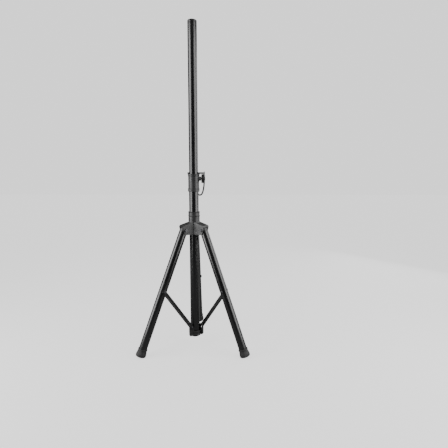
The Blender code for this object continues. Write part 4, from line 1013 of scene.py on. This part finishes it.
for i, azimuth in enumerate(AZIMUTHS, 1):
    head = (LEG_PIVOT_R + STRUT_ON_LEG * math.sin(OPEN), -STRUT_ON_LEG * math.cos(OPEN))
    lean = math.atan2(head[0] - STRUT_FOOT[0], head[1] - STRUT_FOOT[1])
    place = plane_of(azimuth) @ Matrix.Translation((head[0], 0, head[1])) @ Matrix.Rotation(lean, 4, "Y")
    bar = strut_mesh()
    bar.transform(place)
    foot_end = place @ Matrix.Translation((0, 0, -STRUT_LENGTH)) @ ACROSS
    eyes = [rod(HOLE_R, 0.012, 0.024, place @ ACROSS, 40), rod(0.0028, 0.012, 0.024, foot_end, 40)]
    settle(f"strut_{i}_bar", carve(bar, eyes), POWDER, f"strut_{i}", [f"strut_{i}_bar"], smooth_angle=38.0)
    rivet = turned("rivet", [(0, 0.0055, 0), (0.0025, 0.0055, 0.0005), (0.0025, 0.0197, 0.0001),
                             (0.0050, 0.0197, 0.0002), (0.0049, 0.0207, 0.0006), (0.0033, 0.0217, 0.0012),
                             (0, 0.0219, 0)], 48, foot_end)
    settle(f"strut_{i}_rivet", rivet, ZINC, f"strut_{i}", [f"strut_{i}_rivet"])


# ---- bottom ring ----
# A moulded ring on the mast's end. Beside each strut it carries a slotted lug, in
# which the strut's rivet can stray a little while the stand folds.
ring_low = Vector(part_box("bottom_collar")[0]).z
G = 0.0235
ground_ring = turned("ring", [(0, ring_low, 0), (G, ring_low, 0.0012), (G, ring_low + 0.0060, 0.0003),
                              (G - 0.0004, ring_low + 0.0065, 0.0002),
                              (G - 0.0004, ring_low + 0.0155, 0.0002),
                              (G, ring_low + 0.0160, 0.0003), (G, ring_low + 0.0215, 0.0012),
                              (0, ring_low + 0.0215, 0)], SIDES, upright)
lugs, slots = [], []
for azimuth in AZIMUTHS:
    flat = plane_of(azimuth, 0.0, 0.0)
    crest = [(0.0230 + 0.0085 * math.cos(a), 0.080 + 0.0085 * math.sin(a))
             for a in arc(4, 176, 22)]
    shape = [(0.0120, ring_low + 0.002), (0.0270, ring_low + 0.002), (0.0300, ring_low + 0.0033),
             (0.0310, ring_low + 0.0060)] + crest + [(0.0120, 0.080)]
    lugs.append(slab(shape, 0.0065, 0.0156, flat, 0.0007))
    corners = [(0.0240, 0.0800, 0), (0.0240 - 0.00114, 0.0800, 90), (0.0240 - 0.00114, 0.0800 - 0.00884, 180),
               (0.0240, 0.0800 - 0.00884, 270)]
    gap = [(x + 0.0028 * math.cos(a), z + 0.0028 * math.sin(a))
           for x, z, begin in corners for a in arc(begin, begin + 90, 9)]
    slots.append(slab(gap, 0.0040, 0.0180, flat))
ring_bore = rod(SLEEVE_R, 0.02, 0.13, upright, SIDES)
settle("bottom_collar", carve(carve(ground_ring, lugs, "UNION"), slots + [ring_bore]), PLASTIC, "mast",
       ["bottom_collar"], smooth_angle=34.0)


# ---- badge ----
# A plain red label of thin plastic on the rear leg, with round corners.
LABEL_R = 0.0165
LABEL_Z = -0.215


def badge_mesh(place):
    """Curved plate: radius 16.2 to 16.7 mm, its outline a rounded rectangle of arc and height."""
    reach, half_high, corner = math.radians(34) * LABEL_R, 0.015, 0.003
    outline = filleted([(-reach, -half_high, corner), (reach, -half_high, corner),
                        (reach, half_high, corner), (-reach, half_high, corner)], 8)

    def ring(radius, share, height):
        return [(radius * math.cos(x * share / LABEL_R), radius * math.sin(x * share / LABEL_R),
                 LABEL_Z + height(z)) for x, z in outline]

    rings = [ring(radius, share, lambda z: z - (1 - share) * 0.010 * math.copysign(1, z))
             for share, radius in ((1.0, 0.01620), (1.0, 0.01656), (0.985, 0.01666), (0.955, 0.01670),
                                   (0.90, 0.01670), (0.895, 0.01664), (0.87, 0.01664))]
    for k in range(1, 34):
        share = 0.87 * (1 - k / 34)
        rings.append(ring(0.01664, share, lambda z: (z - 0.0013 * math.copysign(1, z)) * share / 0.87))
    inner = [ring(0.01620, share, lambda z: z * share) for share in np.linspace(0.03, 1, 30)[:-1]]
    return closed_skin("badge", inner + rings, place)


RED = finish_material("plain_red", (0.42, 0.012, 0.014), (0.55, 0.10, 0.09), 0.30, stipple=900.0,
                      depth=0.00001, coat=0.35)
settle("badge", badge_mesh(leg_frame(90.0)), RED, "leg_3", ["badge"])
